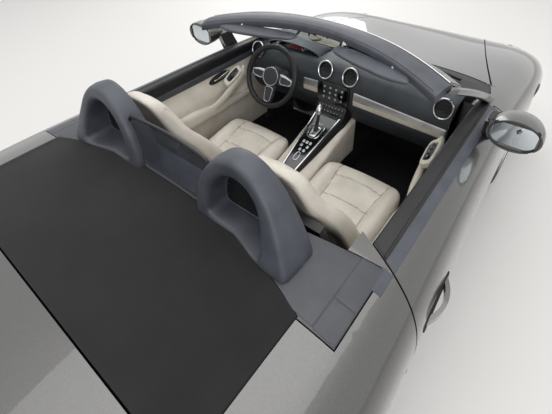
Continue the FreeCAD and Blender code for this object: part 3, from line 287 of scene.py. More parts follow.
def rolled(points, up=(0, 0, 1), radius=1.5, depth=10.0):
    """Panel grid with its four edges rolled inwards: a quarter circle of the radius, then a wall of the
    depth. A border point P with outward direction T goes to P + r sin(a) T - r (1 - cos(a)) up."""
    up = np.asarray(up, float)
    for axis in (0, 1):
        for end in (0, 1):
            points = np.moveaxis(points, axis, 0)
            rim, inner = (points[0], points[1]) if end == 0 else (points[-1], points[-2])
            out = rim - inner
            out = out - (out @ up)[:, None] * up
            out /= np.linalg.norm(out, axis=1, keepdims=True) + 1e-9
            rows = [rim + radius * (math.sin(a) * out - (1 - math.cos(a)) * up)
                    for a in np.radians((30, 60, 90))]
            rows.append(rows[-1] - depth * up)
            extra = np.stack(rows)
            points = np.concatenate([extra[::-1], points]) if end == 0 else np.concatenate([points, extra])
            points = np.moveaxis(points, 0, axis)
    return points


def between(first, last, rows):
    """Grid whose rows go evenly from one line of points to another."""
    share = np.linspace(0, 1, rows)[:, None, None]
    return np.asarray(first)[None] * (1 - share) + np.asarray(last)[None] * share


def smooth_line(points, count):
    """Clamped cubic B-spline on the points, read at even steps."""
    points = np.asarray(points, float)
    return spline_weights(np.linspace(0, 1, count), len(points), min(3, len(points) - 1)) @ points


def rounded_loop(corners, per_edge=8, soft=4):
    """Closed outline: even points on each side of the corners' polygon, then each averaged with its
    neighbours up to soft points away, which rounds the corners."""
    corners = np.asarray(corners, float)
    share = np.arange(per_edge)[None, :, None] / per_edge
    loop = (corners[:, None] * (1 - share) + np.roll(corners, -1, 0)[:, None] * share).reshape(-1,
            corners.shape[1])
    near = np.arange(-soft, soft + 1)
    weight = np.cos(near / (soft + 1) * math.pi / 2) ** 2
    index = (np.arange(len(loop))[:, None] + near) % len(loop)
    return (loop[index] * (weight / weight.sum())[:, None]).sum(1)


def inset(loop, distance):
    """Plane outline moved inwards by a distance along its own normals."""
    ahead = np.roll(loop, -1, 0) - np.roll(loop, 1, 0)
    ahead /= np.linalg.norm(ahead, axis=1, keepdims=True) + 1e-9
    area = np.sum(loop[:, 0] * np.roll(loop[:, 1], -1) - np.roll(loop[:, 0], -1) * loop[:, 1])
    inward = np.stack([-ahead[:, 1], ahead[:, 0]], 1) * (1 if area > 0 else -1)
    return loop + distance * inward


def tube_part(path, radius, sides=12, closed=False, flat=1.0, up=(0, 0, 1)):
    """Round bar: a circle carried along a path; flat squashes it along the up direction."""
    path = np.asarray(path, float)
    ahead = np.roll(path, -1, 0) - np.roll(path, 1, 0) if closed else np.gradient(path, axis=0)
    ahead /= np.linalg.norm(ahead, axis=1, keepdims=True)
    side = np.cross(ahead, up)
    side /= np.linalg.norm(side, axis=1, keepdims=True)
    top = np.cross(side, ahead)
    angle = np.linspace(0, 2 * math.pi, sides, endpoint=False)[None, :, None]
    reach = np.reshape(radius, (-1, 1, 1))
    rings = path[:, None] + reach * (np.cos(angle) * side[:, None] + flat * np.sin(angle) * top[:, None])
    if closed:
        rings = np.concatenate([rings, rings[:1]])
    return loft_part(rings, caps=(not closed, not closed))


def pad_part(loop, origin, u, w, low, high, edge=1.0):
    """Plate: a plane outline (along u and w) from height low to high, its upper edge rounded by edge."""
    u, w, origin = (np.asarray(v, float) for v in (u, w, origin))
    n = np.cross(u, w)
    steps = [(0, low), (0, high - edge), (0.13 * edge, high - 0.5 * edge),
             (0.5 * edge, high - 0.13 * edge), (edge, high)]
    rings = []
    for back, height in steps:
        plane = inset(np.asarray(loop, float), back)
        rings.append(origin + plane[:, :1] * u + plane[:, 1:] * w + height * n)
    return loft_part(rings)

# Body paint: a dark grey metallic base under clear lacquer, sprayed over pressed panels. The
# flakes show as a fine sparkle, and the lacquer has a slight orange peel.
def shader_group(name, inputs, outputs):
    """Empty shader group with named inputs (name, value) and outputs; gives tree, inputs, outputs."""
    tree = bpy.data.node_groups.new(name, "ShaderNodeTree")
    for label, value in inputs:
        kind = "NodeSocketColor" if isinstance(value, tuple) else "NodeSocketFloat"
        tree.interface.new_socket(name=label, in_out="INPUT", socket_type=kind).default_value = value
    for label in outputs:
        kind = "NodeSocketColor" if label == "Colour" else "NodeSocketFloat"
        tree.interface.new_socket(name=label, in_out="OUTPUT", socket_type=kind)
    return tree, tree.nodes.new("NodeGroupInput").outputs, tree.nodes.new("NodeGroupOutput").inputs


def add_node(tree, kind, sockets=(), **settings):
    """Node of a kind, with its settings, and its input sockets given values or links."""
    node = tree.nodes.new(kind)
    for key, value in settings.items():
        setattr(node, key, value)
    for key, value in sockets:
        if isinstance(value, bpy.types.NodeSocket):
            tree.links.new(value, node.inputs[key])
        else:
            node.inputs[key].default_value = value
    return node


def pattern_at(tree, stretch=(1, 1, 1)):
    """Object coordinates, stretched along the axes."""
    place = add_node(tree, "ShaderNodeTexCoord").outputs["Object"]
    return add_node(tree, "ShaderNodeMapping", [("Vector", place), ("Scale", stretch)]).outputs["Vector"]


def blend_colours(tree, share, first, second):
    """Colour between two, by a share from 0 to 1."""
    node = tree.nodes.new("ShaderNodeMix")
    node.data_type = "RGBA"
    for key, value in ((0, share), (6, first), (7, second)):
        if isinstance(value, bpy.types.NodeSocket):
            tree.links.new(value, node.inputs[key])
        else:
            node.inputs[key].default_value = value
    return node.outputs[2]


def spread(tree, value, low, high, from_low=0.3, from_high=0.7):
    """A value from its own range to low..high."""
    node = add_node(tree, "ShaderNodeMapRange", [("Value", value), ("From Min", from_low),
                                                 ("From Max", from_high)])
    for key, limit in (("To Min", low), ("To Max", high)):
        if isinstance(limit, bpy.types.NodeSocket):
            tree.links.new(limit, node.inputs[key])
        else:
            node.inputs[key].default_value = limit
    return node.outputs["Result"]


def sums(tree, operation, *values):
    """Arithmetic on two values."""
    return add_node(tree, "ShaderNodeMath", list(enumerate(values)), operation=operation).outputs[0]


def make_flake_group():
    """Paint: cells of about a millimetre that are a little lighter or darker, and a faint orange peel."""
    tree, get, put = shader_group("paint_flakes", [
        ("Deep", (0.1, 0.1, 0.1, 1)), ("Bright", (0.2, 0.2, 0.2, 1)), ("Flake Scale", 900.0),
        ("Peel Scale", 70.0), ("Rough Low", 0.28), ("Rough High", 0.36)], ["Colour", "Roughness", "Height"])
    place = pattern_at(tree)
    cells = add_node(tree, "ShaderNodeTexVoronoi", [("Vector", place), ("Scale", get["Flake Scale"])])
    light = add_node(tree, "ShaderNodeSeparateColor", [("Color", cells.outputs["Color"])]).outputs[0]
    patches = add_node(tree, "ShaderNodeTexNoise",
                       [("Vector", place), ("Scale", 1.6), ("Detail", 2.0)]).outputs[0]
    peel = add_node(tree, "ShaderNodeTexNoise", [("Vector", place), ("Scale", get["Peel Scale"]),
                                                 ("Detail", 1.0)]).outputs[0]
    tree.links.new(blend_colours(tree, light, get["Deep"], get["Bright"]), put["Colour"])
    tree.links.new(spread(tree, patches, get["Rough Low"], get["Rough High"]), put["Roughness"])
    tree.links.new(peel, put["Height"])
    return tree


def material_from(name, group, values, bump=0.2, depth=0.0003, **sockets):
    """Principled material whose colour, roughness and bump come from a shared group with its own values."""
    material = bpy.data.materials.new(name)
    material.use_nodes = True
    tree = material.node_tree
    shader = tree.nodes["Principled BSDF"]
    for key, value in sockets.items():
        shader.inputs[key.replace("_", " ")].default_value = value
    source = tree.nodes.new("ShaderNodeGroup")
    source.node_tree = group
    for key, value in values.items():
        source.inputs[key].default_value = value
    tree.links.new(source.outputs["Colour"], shader.inputs["Base Color"])
    tree.links.new(source.outputs["Roughness"], shader.inputs["Roughness"])
    relief = add_node(tree, "ShaderNodeBump", [("Height", source.outputs["Height"]), ("Strength", bump),
                                               ("Distance", depth)])
    tree.links.new(relief.outputs[0], shader.inputs["Normal"])
    return material


def tone(red, green, blue, alpha=1.0):
    """Linear colour of a shade as a screen shows it, from 0 to 255."""
    return tuple((c / 255) ** 2.2 for c in (red, green, blue)) + (alpha,)


def dress(material, *nodes):
    """Gives a material to every slot of the named solids."""
    for node in nodes:
        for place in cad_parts[node].material_slots:
            place.material = material


def shades(deep, bright, rough=None, **scales):
    """Inputs of a material's group: two screen colours, two roughness values, and scales by name."""
    values = {"Deep": tone(*deep), "Bright": tone(*bright)}
    if rough:
        values["Rough Low"], values["Rough High"] = rough
    for key, value in scales.items():
        values[key.replace("_", " ")] = value
    return values


PAINT = material_from("body_paint", make_flake_group(), shades((84, 84, 84), (99, 98, 96)),
                      bump=0.05, depth=0.0002, Metallic=0.75, Coat_Weight=1.0, Coat_Roughness=0.03)
PAINTED = ["front_bumper", "front_fender_left", "front_fender_right", "quarter_left", "quarter_right",
           "rear_bumper", "door_left", "door_right", "front_lid", "rear_lid", "mirror_left", "mirror_right"]
dress(PAINT, *PAINTED)


def make_mottle_group():
    """Moulded or coated surface: broad soft patches between two shades, and a fine grain."""
    tree, get, put = shader_group("mottled_grain", [
        ("Deep", (0.1, 0.1, 0.1, 1)), ("Bright", (0.2, 0.2, 0.2, 1)), ("Patch Scale", 14.0),
        ("Grain Scale", 1400.0), ("Rough Low", 0.4), ("Rough High", 0.55)],
        ["Colour", "Roughness", "Height"])
    place = pattern_at(tree)
    patches = add_node(tree, "ShaderNodeTexNoise",
                       [("Vector", place), ("Scale", get["Patch Scale"]), ("Detail", 4.0)]).outputs[0]
    grain = add_node(tree, "ShaderNodeTexVoronoi",
                     [("Vector", place), ("Scale", get["Grain Scale"])]).outputs["Distance"]
    both = sums(tree, "ADD", sums(tree, "MULTIPLY", patches, 0.7), sums(tree, "MULTIPLY", grain, 0.3))
    tree.links.new(blend_colours(tree, spread(tree, both, 0.0, 1.0, 0.35, 0.75), get["Deep"],
                                 get["Bright"]), put["Colour"])
    tree.links.new(spread(tree, patches, get["Rough Low"], get["Rough High"]), put["Roughness"])
    tree.links.new(grain, put["Height"])
    return tree


MOTTLE = make_mottle_group()


def make_leather_group():
    """Leather: small rounded cells divided by creases, a few long soft wrinkles, and painted shade that
    darkens the creases and leaves the cell tops lighter.
    """
    tree, get, put = shader_group("leather_grain", [
        ("Deep", (0.1, 0.1, 0.1, 1)), ("Bright", (0.2, 0.2, 0.2, 1)), ("Cell Scale", 620.0),
        ("Patch Scale", 9.0), ("Rough Low", 0.42), ("Rough High", 0.56)], ["Colour", "Roughness", "Height"])
    place = pattern_at(tree)
    bent = add_node(tree, "ShaderNodeTexNoise", [("Vector", place), ("Scale", 60.0),
                                                 ("Detail", 2.0)]).outputs["Color"]
    moved = add_node(tree, "ShaderNodeVectorMath", [(0, bent), (1, (0.004, 0.004, 0.004)), (2, place)],
                     operation="MULTIPLY_ADD")
    cells = add_node(tree, "ShaderNodeTexVoronoi",
                     [("Vector", moved.outputs[0]), ("Scale", get["Cell Scale"])],
                     feature="DISTANCE_TO_EDGE").outputs["Distance"]
    crease = spread(tree, cells, 0.0, 1.0, 0.0, 0.16)
    patches = add_node(tree, "ShaderNodeTexNoise",
                       [("Vector", place), ("Scale", get["Patch Scale"]), ("Detail", 5.0)]).outputs[0]
    wrinkles = add_node(tree, "ShaderNodeTexNoise",
                        [("Vector", place), ("Scale", 45.0), ("Detail", 3.0),
                         ("Distortion", 0.6)]).outputs[0]
    # Painted shade: the colour darkens along the grain's creases.
    share = sums(tree, "MULTIPLY", spread(tree, patches, 0.35, 1.0),
                 spread(tree, crease, 0.72, 1.0, 0.0, 1.0))
    tree.links.new(blend_colours(tree, share, get["Deep"], get["Bright"]), put["Colour"])
    tree.links.new(spread(tree, patches, get["Rough High"], get["Rough Low"]), put["Roughness"])
    tree.links.new(sums(tree, "ADD", sums(tree, "MULTIPLY", crease, 0.5),
                        sums(tree, "MULTIPLY", wrinkles, 0.9)), put["Height"])
    return tree


LEATHER = make_leather_group()


def make_weave_group():
    """Woven cloth: threads over and under in two directions, from sines along the object's axes, and lint."""
    tree, get, put = shader_group("woven_cloth", [
        ("Deep", (0.1, 0.1, 0.1, 1)), ("Bright", (0.2, 0.2, 0.2, 1)), ("Thread Scale", 4200.0),
        ("Patch Scale", 7.0), ("Rough Low", 0.85), ("Rough High", 0.95)], ["Colour", "Roughness", "Height"])
    place = add_node(tree, "ShaderNodeSeparateXYZ", [("Vector", pattern_at(tree))])
    x, y, z = place.outputs
    along = sums(tree, "ADD", x, sums(tree, "MULTIPLY", z, 0.8))
    across = sums(tree, "ADD", y, sums(tree, "MULTIPLY", z, 0.6))
    warp = sums(tree, "SINE", sums(tree, "MULTIPLY", along, get["Thread Scale"]))
    weft = sums(tree, "SINE", sums(tree, "MULTIPLY", across, get["Thread Scale"]))
    weave = sums(tree, "MULTIPLY", warp, weft)
    flat = pattern_at(tree)
    patches = add_node(tree, "ShaderNodeTexNoise",
                       [("Vector", flat), ("Scale", get["Patch Scale"]), ("Detail", 6.0)]).outputs[0]
    lint = add_node(tree, "ShaderNodeTexNoise", [("Vector", flat), ("Scale", 900.0),
                                                 ("Detail", 2.0)]).outputs[0]
    share = sums(tree, "ADD", sums(tree, "MULTIPLY", patches, 0.6),
                 sums(tree, "MULTIPLY", spread(tree, weave, 0.0, 1.0, -1.0, 1.0), 0.25))
    tree.links.new(blend_colours(tree, sums(tree, "ADD", share, sums(tree, "MULTIPLY", lint, 0.15)),
                                 get["Deep"], get["Bright"]), put["Colour"])
    tree.links.new(spread(tree, patches, get["Rough Low"], get["Rough High"]), put["Roughness"])
    tree.links.new(sums(tree, "ADD", weave, sums(tree, "MULTIPLY", lint, 1.5)), put["Height"])
    return tree


WEAVE = make_weave_group()


def make_metal_group():
    """Worked metal: long fine streaks along one axis over slow patches."""
    tree, get, put = shader_group("worked_metal", [
        ("Deep", (0.1, 0.1, 0.1, 1)), ("Bright", (0.2, 0.2, 0.2, 1)), ("Streak Scale", 60.0),
        ("Patch Scale", 12.0), ("Rough Low", 0.25), ("Rough High", 0.45)],
        ["Colour", "Roughness", "Height"])
    streak_at = pattern_at(tree, (1, 14, 14))
    streaks = add_node(tree, "ShaderNodeTexNoise",
                       [("Vector", streak_at), ("Scale", get["Streak Scale"]), ("Detail", 3.0)]).outputs[0]
    patches = add_node(tree, "ShaderNodeTexNoise",
                       [("Vector", pattern_at(tree)), ("Scale", get["Patch Scale"]),
                        ("Detail", 5.0)]).outputs[0]
    both = sums(tree, "ADD", sums(tree, "MULTIPLY", streaks, 0.5), sums(tree, "MULTIPLY", patches, 0.5))
    tree.links.new(blend_colours(tree, spread(tree, both, 0.0, 1.0), get["Deep"], get["Bright"]),
                   put["Colour"])
    tree.links.new(spread(tree, both, get["Rough Low"], get["Rough High"]), put["Roughness"])
    tree.links.new(streaks, put["Height"])
    return tree


METAL = make_metal_group()
BLACK_PLASTIC = material_from("black_plastic", MOTTLE, shades((16, 16, 17), (34, 34, 36)), bump=0.25)
GLOSS_BLACK = material_from("gloss_black_plastic", MOTTLE,
                            shades((10, 10, 11), (20, 20, 21), (0.1, 0.16)), bump=0.02, Coat_Weight=0.5)
SLATE = material_from("slate_plastic", MOTTLE, shades((62, 65, 72), (82, 85, 93), (0.42, 0.5)), bump=0.12)
COATING = material_from("underbody_coating", MOTTLE,
                        shades((24, 24, 25), (48, 47, 45), (0.7, 0.9), Patch_Scale=30.0,
                               Grain_Scale=500.0), bump=0.5, depth=0.0008)
COVER_CLOTH = material_from("cover_cloth", WEAVE, shades((13, 13, 15), (30, 30, 32)),
                            bump=0.35, depth=0.0002, Sheen_Weight=0.08, Sheen_Roughness=0.5)
CREAM = material_from("cream_leather", LEATHER, shades((188, 180, 167), (222, 215, 204)),
                      bump=0.25, depth=0.0004)
GRAPHITE = material_from("graphite_dash", LEATHER,
                         shades((36, 40, 44), (58, 63, 68), (0.45, 0.6), Cell_Scale=900.0), bump=0.2)
BLACK_LEATHER = material_from("black_leather", LEATHER, shades((15, 15, 17), (30, 30, 33), (0.45, 0.6)),
                              bump=0.3)
GLASS = material_from("clear_glass", MOTTLE, {"Deep": (0.86, 0.9, 0.89, 1),
                                              "Bright": (0.94, 0.97, 0.96, 1), "Rough Low": 0.0,
                      "Rough High": 0.02}, bump=0.0, Transmission_Weight=1.0, IOR=1.05)
LAMP_GLASS = material_from("lamp_glass", MOTTLE,
                           {"Deep": (0.9, 0.92, 0.93, 1), "Bright": (0.97, 0.98, 0.98, 1),
                           "Rough Low": 0.02, "Rough High": 0.05}, bump=0.0, Transmission_Weight=1.0,
                           IOR=1.15, Coat_Weight=1.0)
RED_LENS = material_from("red_lens", MOTTLE, shades((120, 8, 10), (165, 14, 16), (0.06, 0.12)), bump=0.05,
                         Coat_Weight=1.0)
SMOKED = material_from("smoked_pane", MOTTLE, shades((120, 124, 132), (140, 144, 152), (0.05, 0.1)),
                       bump=0.0, Transmission_Weight=0.85, IOR=1.1)
ALLOY = material_from("wheel_alloy", METAL, shades((150, 151, 153), (190, 191, 193), (0.2, 0.3)),
                      bump=0.05, Metallic=0.9, Coat_Weight=0.6, Coat_Roughness=0.08)
STEEL = material_from("bare_steel", METAL, shades((96, 95, 93), (150, 149, 147)), bump=0.2, Metallic=0.9)
BRIGHT_TRIM = material_from("bright_trim", METAL, shades((176, 177, 179), (214, 214, 215), (0.14, 0.24)),
                            bump=0.04, Metallic=1.0)
EXHAUST = material_from("exhaust_steel", METAL, shades((128, 124, 118), (182, 178, 170), (0.2, 0.42)),
                        bump=0.15, Metallic=1.0)
RUBBER = material_from("tyre_rubber", MOTTLE,
                       shades((20, 20, 20), (44, 43, 42), (0.6, 0.85), Patch_Scale=25.0), bump=0.3)
# The part's material slot that each look belongs to, unless a piece names another. Blender may add
# a number to a material's name, after a dot.
SLOT_OF = {
    "black_plastic": "black_plastic", "gloss_black_plastic": "black_plastic",
    "black_leather": "black_plastic", "dial_red": "black_plastic",
    "slate_plastic": "dark_grey_plastic", "flap_plastic": "dark_grey_plastic",
    "cover_cloth": "cover_fabric", "cream_leather": "cream_leather", "seat_leather": "cream_leather",
    "graphite_dash": "dash_plastic", "smoked_pane": "smoked_pane", "lamp_glass": "lamp_glass",
    "red_lens": "red_lens", "wheel_alloy": "wheel_alloy", "exhaust_steel": "exhaust_steel",
    "tyre_rubber": "tyre", "bare_steel": "steel", "bright_trim": "steel", "satin_silver": "steel",
    "pale_mark": "steel", "screen_marks": "steel", "mirror_pane": "steel",
}
for cad_material, cad_nodes in (
    (BLACK_PLASTIC, ["cowl", "air_grilles", "rear_diffuser", "wipers"]),
    (COATING, ["floor_tub", "front_luggage_tub", "rear_frame", "rear_luggage_tub"]),
    (SLATE, ["roll_hoops", "windshield_frame", "header_fittings"]), (COVER_CLOTH, ["soft_top"]),
    (GLOSS_BLACK, ["deck_flaps"]), (GRAPHITE, ["dashboard", "centre_console"]),
    (CREAM, ["seat_cushion_left", "seat_cushion_right", "seat_back_left", "seat_back_right",
             "door_card_left", "door_card_right"]),
    (BLACK_PLASTIC, ["seat_frames"]), (GLASS, ["windshield_glass"]), (SMOKED, ["wind_deflector"]),
    (LAMP_GLASS, ["headlights"]), (RED_LENS, ["tail_lights"]),
    (STEEL, ["engine", "front_suspension", "rear_suspension", "knuckle_left", "knuckle_right"]),
    (EXHAUST, ["exhaust"]), (BLACK_LEATHER, ["steering_wheel"]),
):
    dress(cad_material, *cad_nodes)
for corner in ("front_left", "front_right", "rear_left", "rear_right"):
    dress(ALLOY, "wheel_" + corner)
    dress(RUBBER, "tyre_" + corner)

# Roll hoops: two satin slate fairings on a shared shelf behind the seats. Each is an arch with a
# rounded rim round a deep recess, whose back is closed by a framed honeycomb insert.
HOOP_OUTER = [(156, 905), (158, 985), (178, 1062), (222, 1140), (280, 1194), (344, 1214), (412, 1194),
              (470, 1140), (517, 1060), (550, 985), (578, 905), (366, 905)]
HOOP_HOLE = [(222, 948), (222, 1000), (234, 1062), (262, 1110), (302, 1140), (346, 1151), (390, 1140),
             (428, 1110), (454, 1062), (468, 1000), (472, 948), (346, 948)]
HOOP_FRONT_X = -562.0
HOOP_TOP = 1208.0
HOOP_MIDDLE = 344.0
HOOP_HALF = 230.0
HOOP_RIM_X = -640.0
HOOP_LEAN = 28.0
HOOP_FOOT_SWEEP = 44.0
RECESS_BACK_X = -586.0


def make_hoop():
    """Rings from the front face round the outer roof, over the rear rim and into the recess."""
    outer, hole = rounded_loop(HOOP_OUTER, 8, 5), rounded_loop(HOOP_HOLE, 8, 5)
    depth = np.linalg.norm(hole - outer, axis=1, keepdims=True)
    fall = (HOOP_TOP - outer[:, 1]) / 300.0
    sweep = HOOP_FOOT_SWEEP * np.clip((outer[:, 0] - HOOP_MIDDLE) / HOOP_HALF, 0, 1)
    rim_x = HOOP_RIM_X - HOOP_LEAN * fall - sweep * fall
    steps = [
        # distance inwards from the outer arch, place between the front (0) and the rim (1), shift in x
        (16, 0, 0), (6, 0, -1.5), (1.5, 0, -6), (0, 0, -14), (-2.5, 0.5, 0), (0, 1, 22), (1.5, 1, 14),
        (5, 1, 6), (11, 1, 1.5), (19, 1, 0)]
    rings = []
    for inward, share, shift in steps:
        plane = outer + (hole - outer) * inward / depth
        rings.append(np.column_stack([HOOP_FRONT_X * (1 - share) + rim_x * share + shift, plane]))
    steps = [(20, 0, -1), (10, 0, 0.5), (3, 0, 5), (0, 0, 13), (-2, 0.5, 0), (-4, 1, 0)]
    for outward, share, shift in steps:
        plane = hole + (outer - hole) * outward / depth
        rings.append(np.column_stack([rim_x * (1 - share) + RECESS_BACK_X * share + shift, plane]))
    return loft_part(rings)


def inside_loop(points, loop):
    """True for plane points inside an outline, by counting how often a line from them crosses it."""
    a, b = loop, np.roll(loop, -1, 0)
    x, y = points[:, :1], points[:, 1:]
    crosses = (a[:, 1] > y) != (b[:, 1] > y)
    rise = np.where(b[:, 1] == a[:, 1], 1e-9, b[:, 1] - a[:, 1])
    reach = a[:, 0] + (y - a[:, 1]) * (b[:, 0] - a[:, 0]) / rise
    return (crosses & (x < reach)).sum(1) % 2 == 1


def make_honeycomb(loop, pitch, wall, place):
    """Six-sided rims, side by side in rows, wherever a whole cell is inside the outline."""
    low, high = loop.min(0), loop.max(0)
    row, column = np.meshgrid(np.arange(low[1], high[1], pitch * 0.866),
                              np.arange(low[0], high[0], pitch), indexing="ij")
    column = column + (np.arange(row.shape[0]) % 2)[:, None] * pitch / 2
    middles = np.stack([column.ravel(), row.ravel()], 1)
    middles = middles[inside_loop(middles, inset(loop, pitch * 0.55))]
    angle = np.radians(np.arange(6) * 60 + 30)
    round_it = np.stack([np.cos(angle), np.sin(angle)], 1)
    radius_out = pitch / 1.74
    radius_in = radius_out - wall
    rings = [(radius_out, 0.0), (radius_in, 0.0), (radius_in, 5.0)]
    cells = np.stack([np.concatenate([middles[:, None] + radius * round_it,
                                      np.full((len(middles), 6, 1), depth)], 2)
                      for radius, depth in rings], 1)
    return [(place(cell.reshape(-1, 3)), grid_faces(3, 6, True)) for cell in cells]


hoop = [make_hoop()]
hole_loop = rounded_loop(HOOP_HOLE, 8, 5)
insert_loop = inset(hole_loop, 15)


def on_recess_back(points):
    """Plan points and depths (across, up, depth) placed on the back of the recess."""
    return np.column_stack([RECESS_BACK_X - 4 + points[:, 2], points[:, :2]])


comb = make_honeycomb(insert_loop, 11.0, 1.3, on_recess_back)
rim_path = np.column_stack([np.full(len(insert_loop), RECESS_BACK_X - 3), insert_loop])
insert_rim = [tube_part(rim_path, 3.0, 8, True, up=(1, 0, 0))]

SHELF_Y = 497.0
COVER_FRONT = [(0, -640), (150, -644), (300, -660), (430, -685), (520, -710), (600, -736), (640, -750)]


def cover_front_x(y):
    """Lengthwise place of the cloth cover's front edge."""
    return np.interp(np.abs(y), *np.array(COVER_FRONT, float).T)


shelf_y = np.linspace(-SHELF_Y, SHELF_Y, 81)
shelf_x = between((cover_front_x(shelf_y) + 5)[:, None], np.full((81, 1), -526.0), 17)[..., 0]
share_x = np.linspace(0, 1, 17)[:, None]
shelf_rise = 3.0 + 5.0 * np.exp(-(share_x / 0.07) ** 2) - 3.0 * np.clip(share_x - 0.75, 0, 1) ** 2 * 16
shelf_grid = np.stack([shelf_x, np.broadcast_to(shelf_y, shelf_x.shape),
                       top_z(shelf_x, shelf_y[None]) + shelf_rise], -1)
shelf = sheet_part(rolled(shelf_grid, radius=4, depth=34))
hoop_pieces = [
    put_mesh("hoop_left", hoop, SLATE, sharp=50),
    put_mesh("hoop_right", mirrored(hoop), SLATE, sharp=50),
    put_mesh("hoop_insert_left", comb, BLACK_PLASTIC, facing=(-1, 0, 0)),
    put_mesh("hoop_insert_right", mirrored(comb), BLACK_PLASTIC, facing=(-1, 0, 0)),
    put_mesh("hoop_insert_rim_left", insert_rim, SLATE),
    put_mesh("hoop_insert_rim_right", mirrored(insert_rim), SLATE),
    put_mesh("hoop_shelf", [shelf], SLATE, facing=(0, 0, 1)),
]
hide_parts("roll_hoops")
EDGE_LINE_Y = np.linspace(-SHELF_Y, SHELF_Y, 120)
edge_x = cover_front_x(EDGE_LINE_Y) + 3.5
edge_path = np.column_stack([edge_x, EDGE_LINE_Y, top_z(edge_x, EDGE_LINE_Y) + 4.5])
put_mesh("shelf_edge_line", [tube_part(edge_path, 2.6, 8)], BRIGHT_TRIM)

# Wind deflector: a clear smoked pane between the hoops in a dark rubber rim, leaning back a
# little, held by a foot bar on the shelf.
PANE_CORNERS = [(-150, 952), (-168, 1000), (-212, 1108), (-196, 1134), (0, 1142), (196, 1134),
                (212, 1108), (168, 1000), (150, 952), (0, 948)]
pane_loop = rounded_loop(PANE_CORNERS, 8, 3)


def pane_point(loop, shift):
    """Pane outline (y, z) placed on its plane, which leans forward with height and bows across."""
    y, z = loop[:, 0], loop[:, 1]
    return np.column_stack([-634 + (z - 950) * 0.15 + shift - 6 * (y / 212) ** 2, y, z])


PANE_MIDDLE_Z = 1045.0
PANE_STEPS = ((0.02, 2.5), (0.3, 2.5), (0.6, 2.5), (1, 2.5), (1, -2.5), (0.6, -2.5), (0.3, -2.5),
              (0.02, -2.5))
pane_rings = [pane_point(pane_loop * scale + (0, PANE_MIDDLE_Z * (1 - scale)), shift)
              for scale, shift in PANE_STEPS]
pane = put_mesh("deflector_pane", [loft_part(pane_rings)], SMOKED)
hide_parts("wind_deflector")
put_mesh("deflector_rim", [tube_part(pane_point(pane_loop, 0), 6.0, 10, True, up=(1, 0, 0))], BLACK_PLASTIC)
foot_y = np.linspace(-152, 152, 31)
foot_path = np.column_stack([np.full(31, -632.0), foot_y, top_z(np.full(31, -632.0), foot_y) + 10])
put_mesh("deflector_foot", [tube_part(foot_path, 12.0, 12, flat=0.8)], SLATE)

# Folded cloth top: the charcoal cover that lies stretched over the folded frame, taut, with a
# turned hem all round and a faint line over each bow below.
COVER_HALF = 636.0
COVER_REAR_X = -1126.0
cover_y = np.linspace(-COVER_HALF, COVER_HALF, 121)
cover_x = between((cover_front_x(cover_y) - 1)[:, None], np.full((121, 1), COVER_REAR_X), 61)[..., 0]
sag = 1.6 * np.sin(cover_x / 58.0) * np.cos(cover_y / 420.0)
sag = sag + 0.9 * np.sin(cover_y[None] / 37.0 + cover_x / 71.0)
hem = np.minimum(np.minimum(np.linspace(0, 1, 61), np.linspace(1, 0, 61))[:, None] * 480,
                 (COVER_HALF - np.abs(cover_y))[None])
hem_step = 2.2 * (1 - np.tanh((hem - 14) / 2.5)) / 2
cover_z = top_z(cover_x, cover_y[None]) + 1.5 + 0.35 * sag + hem_step
cover_grid = np.stack([cover_x, np.broadcast_to(cover_y, cover_x.shape), cover_z], -1)
cover = put_mesh("folded_top_cover", [sheet_part(rolled(cover_grid, radius=4.5, depth=16))], COVER_CLOTH,
                 facing=(0, 0, 1))
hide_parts("soft_top")

# Flaps beside the hoops: satin dark grey covers in three pieces over a black carrier, with the
# gap of a cover between them.
FLAP_GREY = material_from("flap_plastic", MOTTLE, shades((50, 52, 57), (68, 71, 77), (0.32, 0.4)), bump=0.1)
FLAP_PANELS = [
    # plan corners: front inner, front outer, rear outer, rear inner
    ((-522, 504), (-492, 684), (-742, 684), (-734, 504)),
    ((-489, 690), (-481, 754), (-640, 754), (-640, 690)),
    ((-646, 690), (-646, 754), (-748, 754), (-744, 690)),
]
FLAP_RISE = 1.5
flaps = []
for front_in, front_out, rear_out, rear_in in FLAP_PANELS:
    plan = between(between([front_in], [front_out], 19)[:, 0], between([rear_in], [rear_out], 19)[:, 0], 21)
    if front_in[1] < SHELF_Y + 100:
        plan[..., 0] = np.maximum(plan[..., 0], cover_front_x(plan[..., 1]) + 5)
    height = top_z(plan[..., 0], plan[..., 1])[..., None] + FLAP_RISE
    flaps.append(sheet_part(rolled(np.concatenate([plan, height], -1), radius=2.5)))
put_mesh("flap_left", flaps, FLAP_GREY, facing=(0, 0, 1))
put_mesh("flap_right", mirrored(flaps), FLAP_GREY, facing=(0, 0, 1))

# Seats: cream leather over foam, each a cushion and a back with a headrest of one piece. Sewn
# seams hold the leather down, and the foam swells between them. One side is made by letting the
# leather swell under a little pressure, and the other side is its mirror image.
SEAT_MIDDLE = 352.0
CUSHION_OUTLINE = [(-232, -205), (-232, 205), (-120, 219), (60, 222), (180, 218), (244, 170), (252, 0),
                   (244, -170), (180, -218), (60, -222), (-120, -219)]
CUSHION_TOP = [(-232, 462), (-160, 474), (-40, 492), (90, 512), (185, 522), (230, 510), (255, 488)]
BACK_OUTLINE = [(-198, 470), (-216, 600), (-218, 760), (-196, 850), (-152, 930), (-122, 1000),
                (-104, 1060), (-72, 1096),
                (0, 1106), (72, 1096), (104, 1060), (122, 1000), (152, 930), (196, 850), (218, 760),
                (216, 600), (198, 470), (0, 462)]
BACK_LEAN = 0.45
BACK_FOOT_X = -176.0
SEAM_SIDE = 122.0
CLOTH_STEPS = 20
SWELL_CAP = 0.016


def smooth_step(value, low, high):
    """0 below low, 1 above high, and a cubic rise between."""
    share = np.clip((value - low) / (high - low), 0, 1)
    return share * share * (3 - 2 * share)


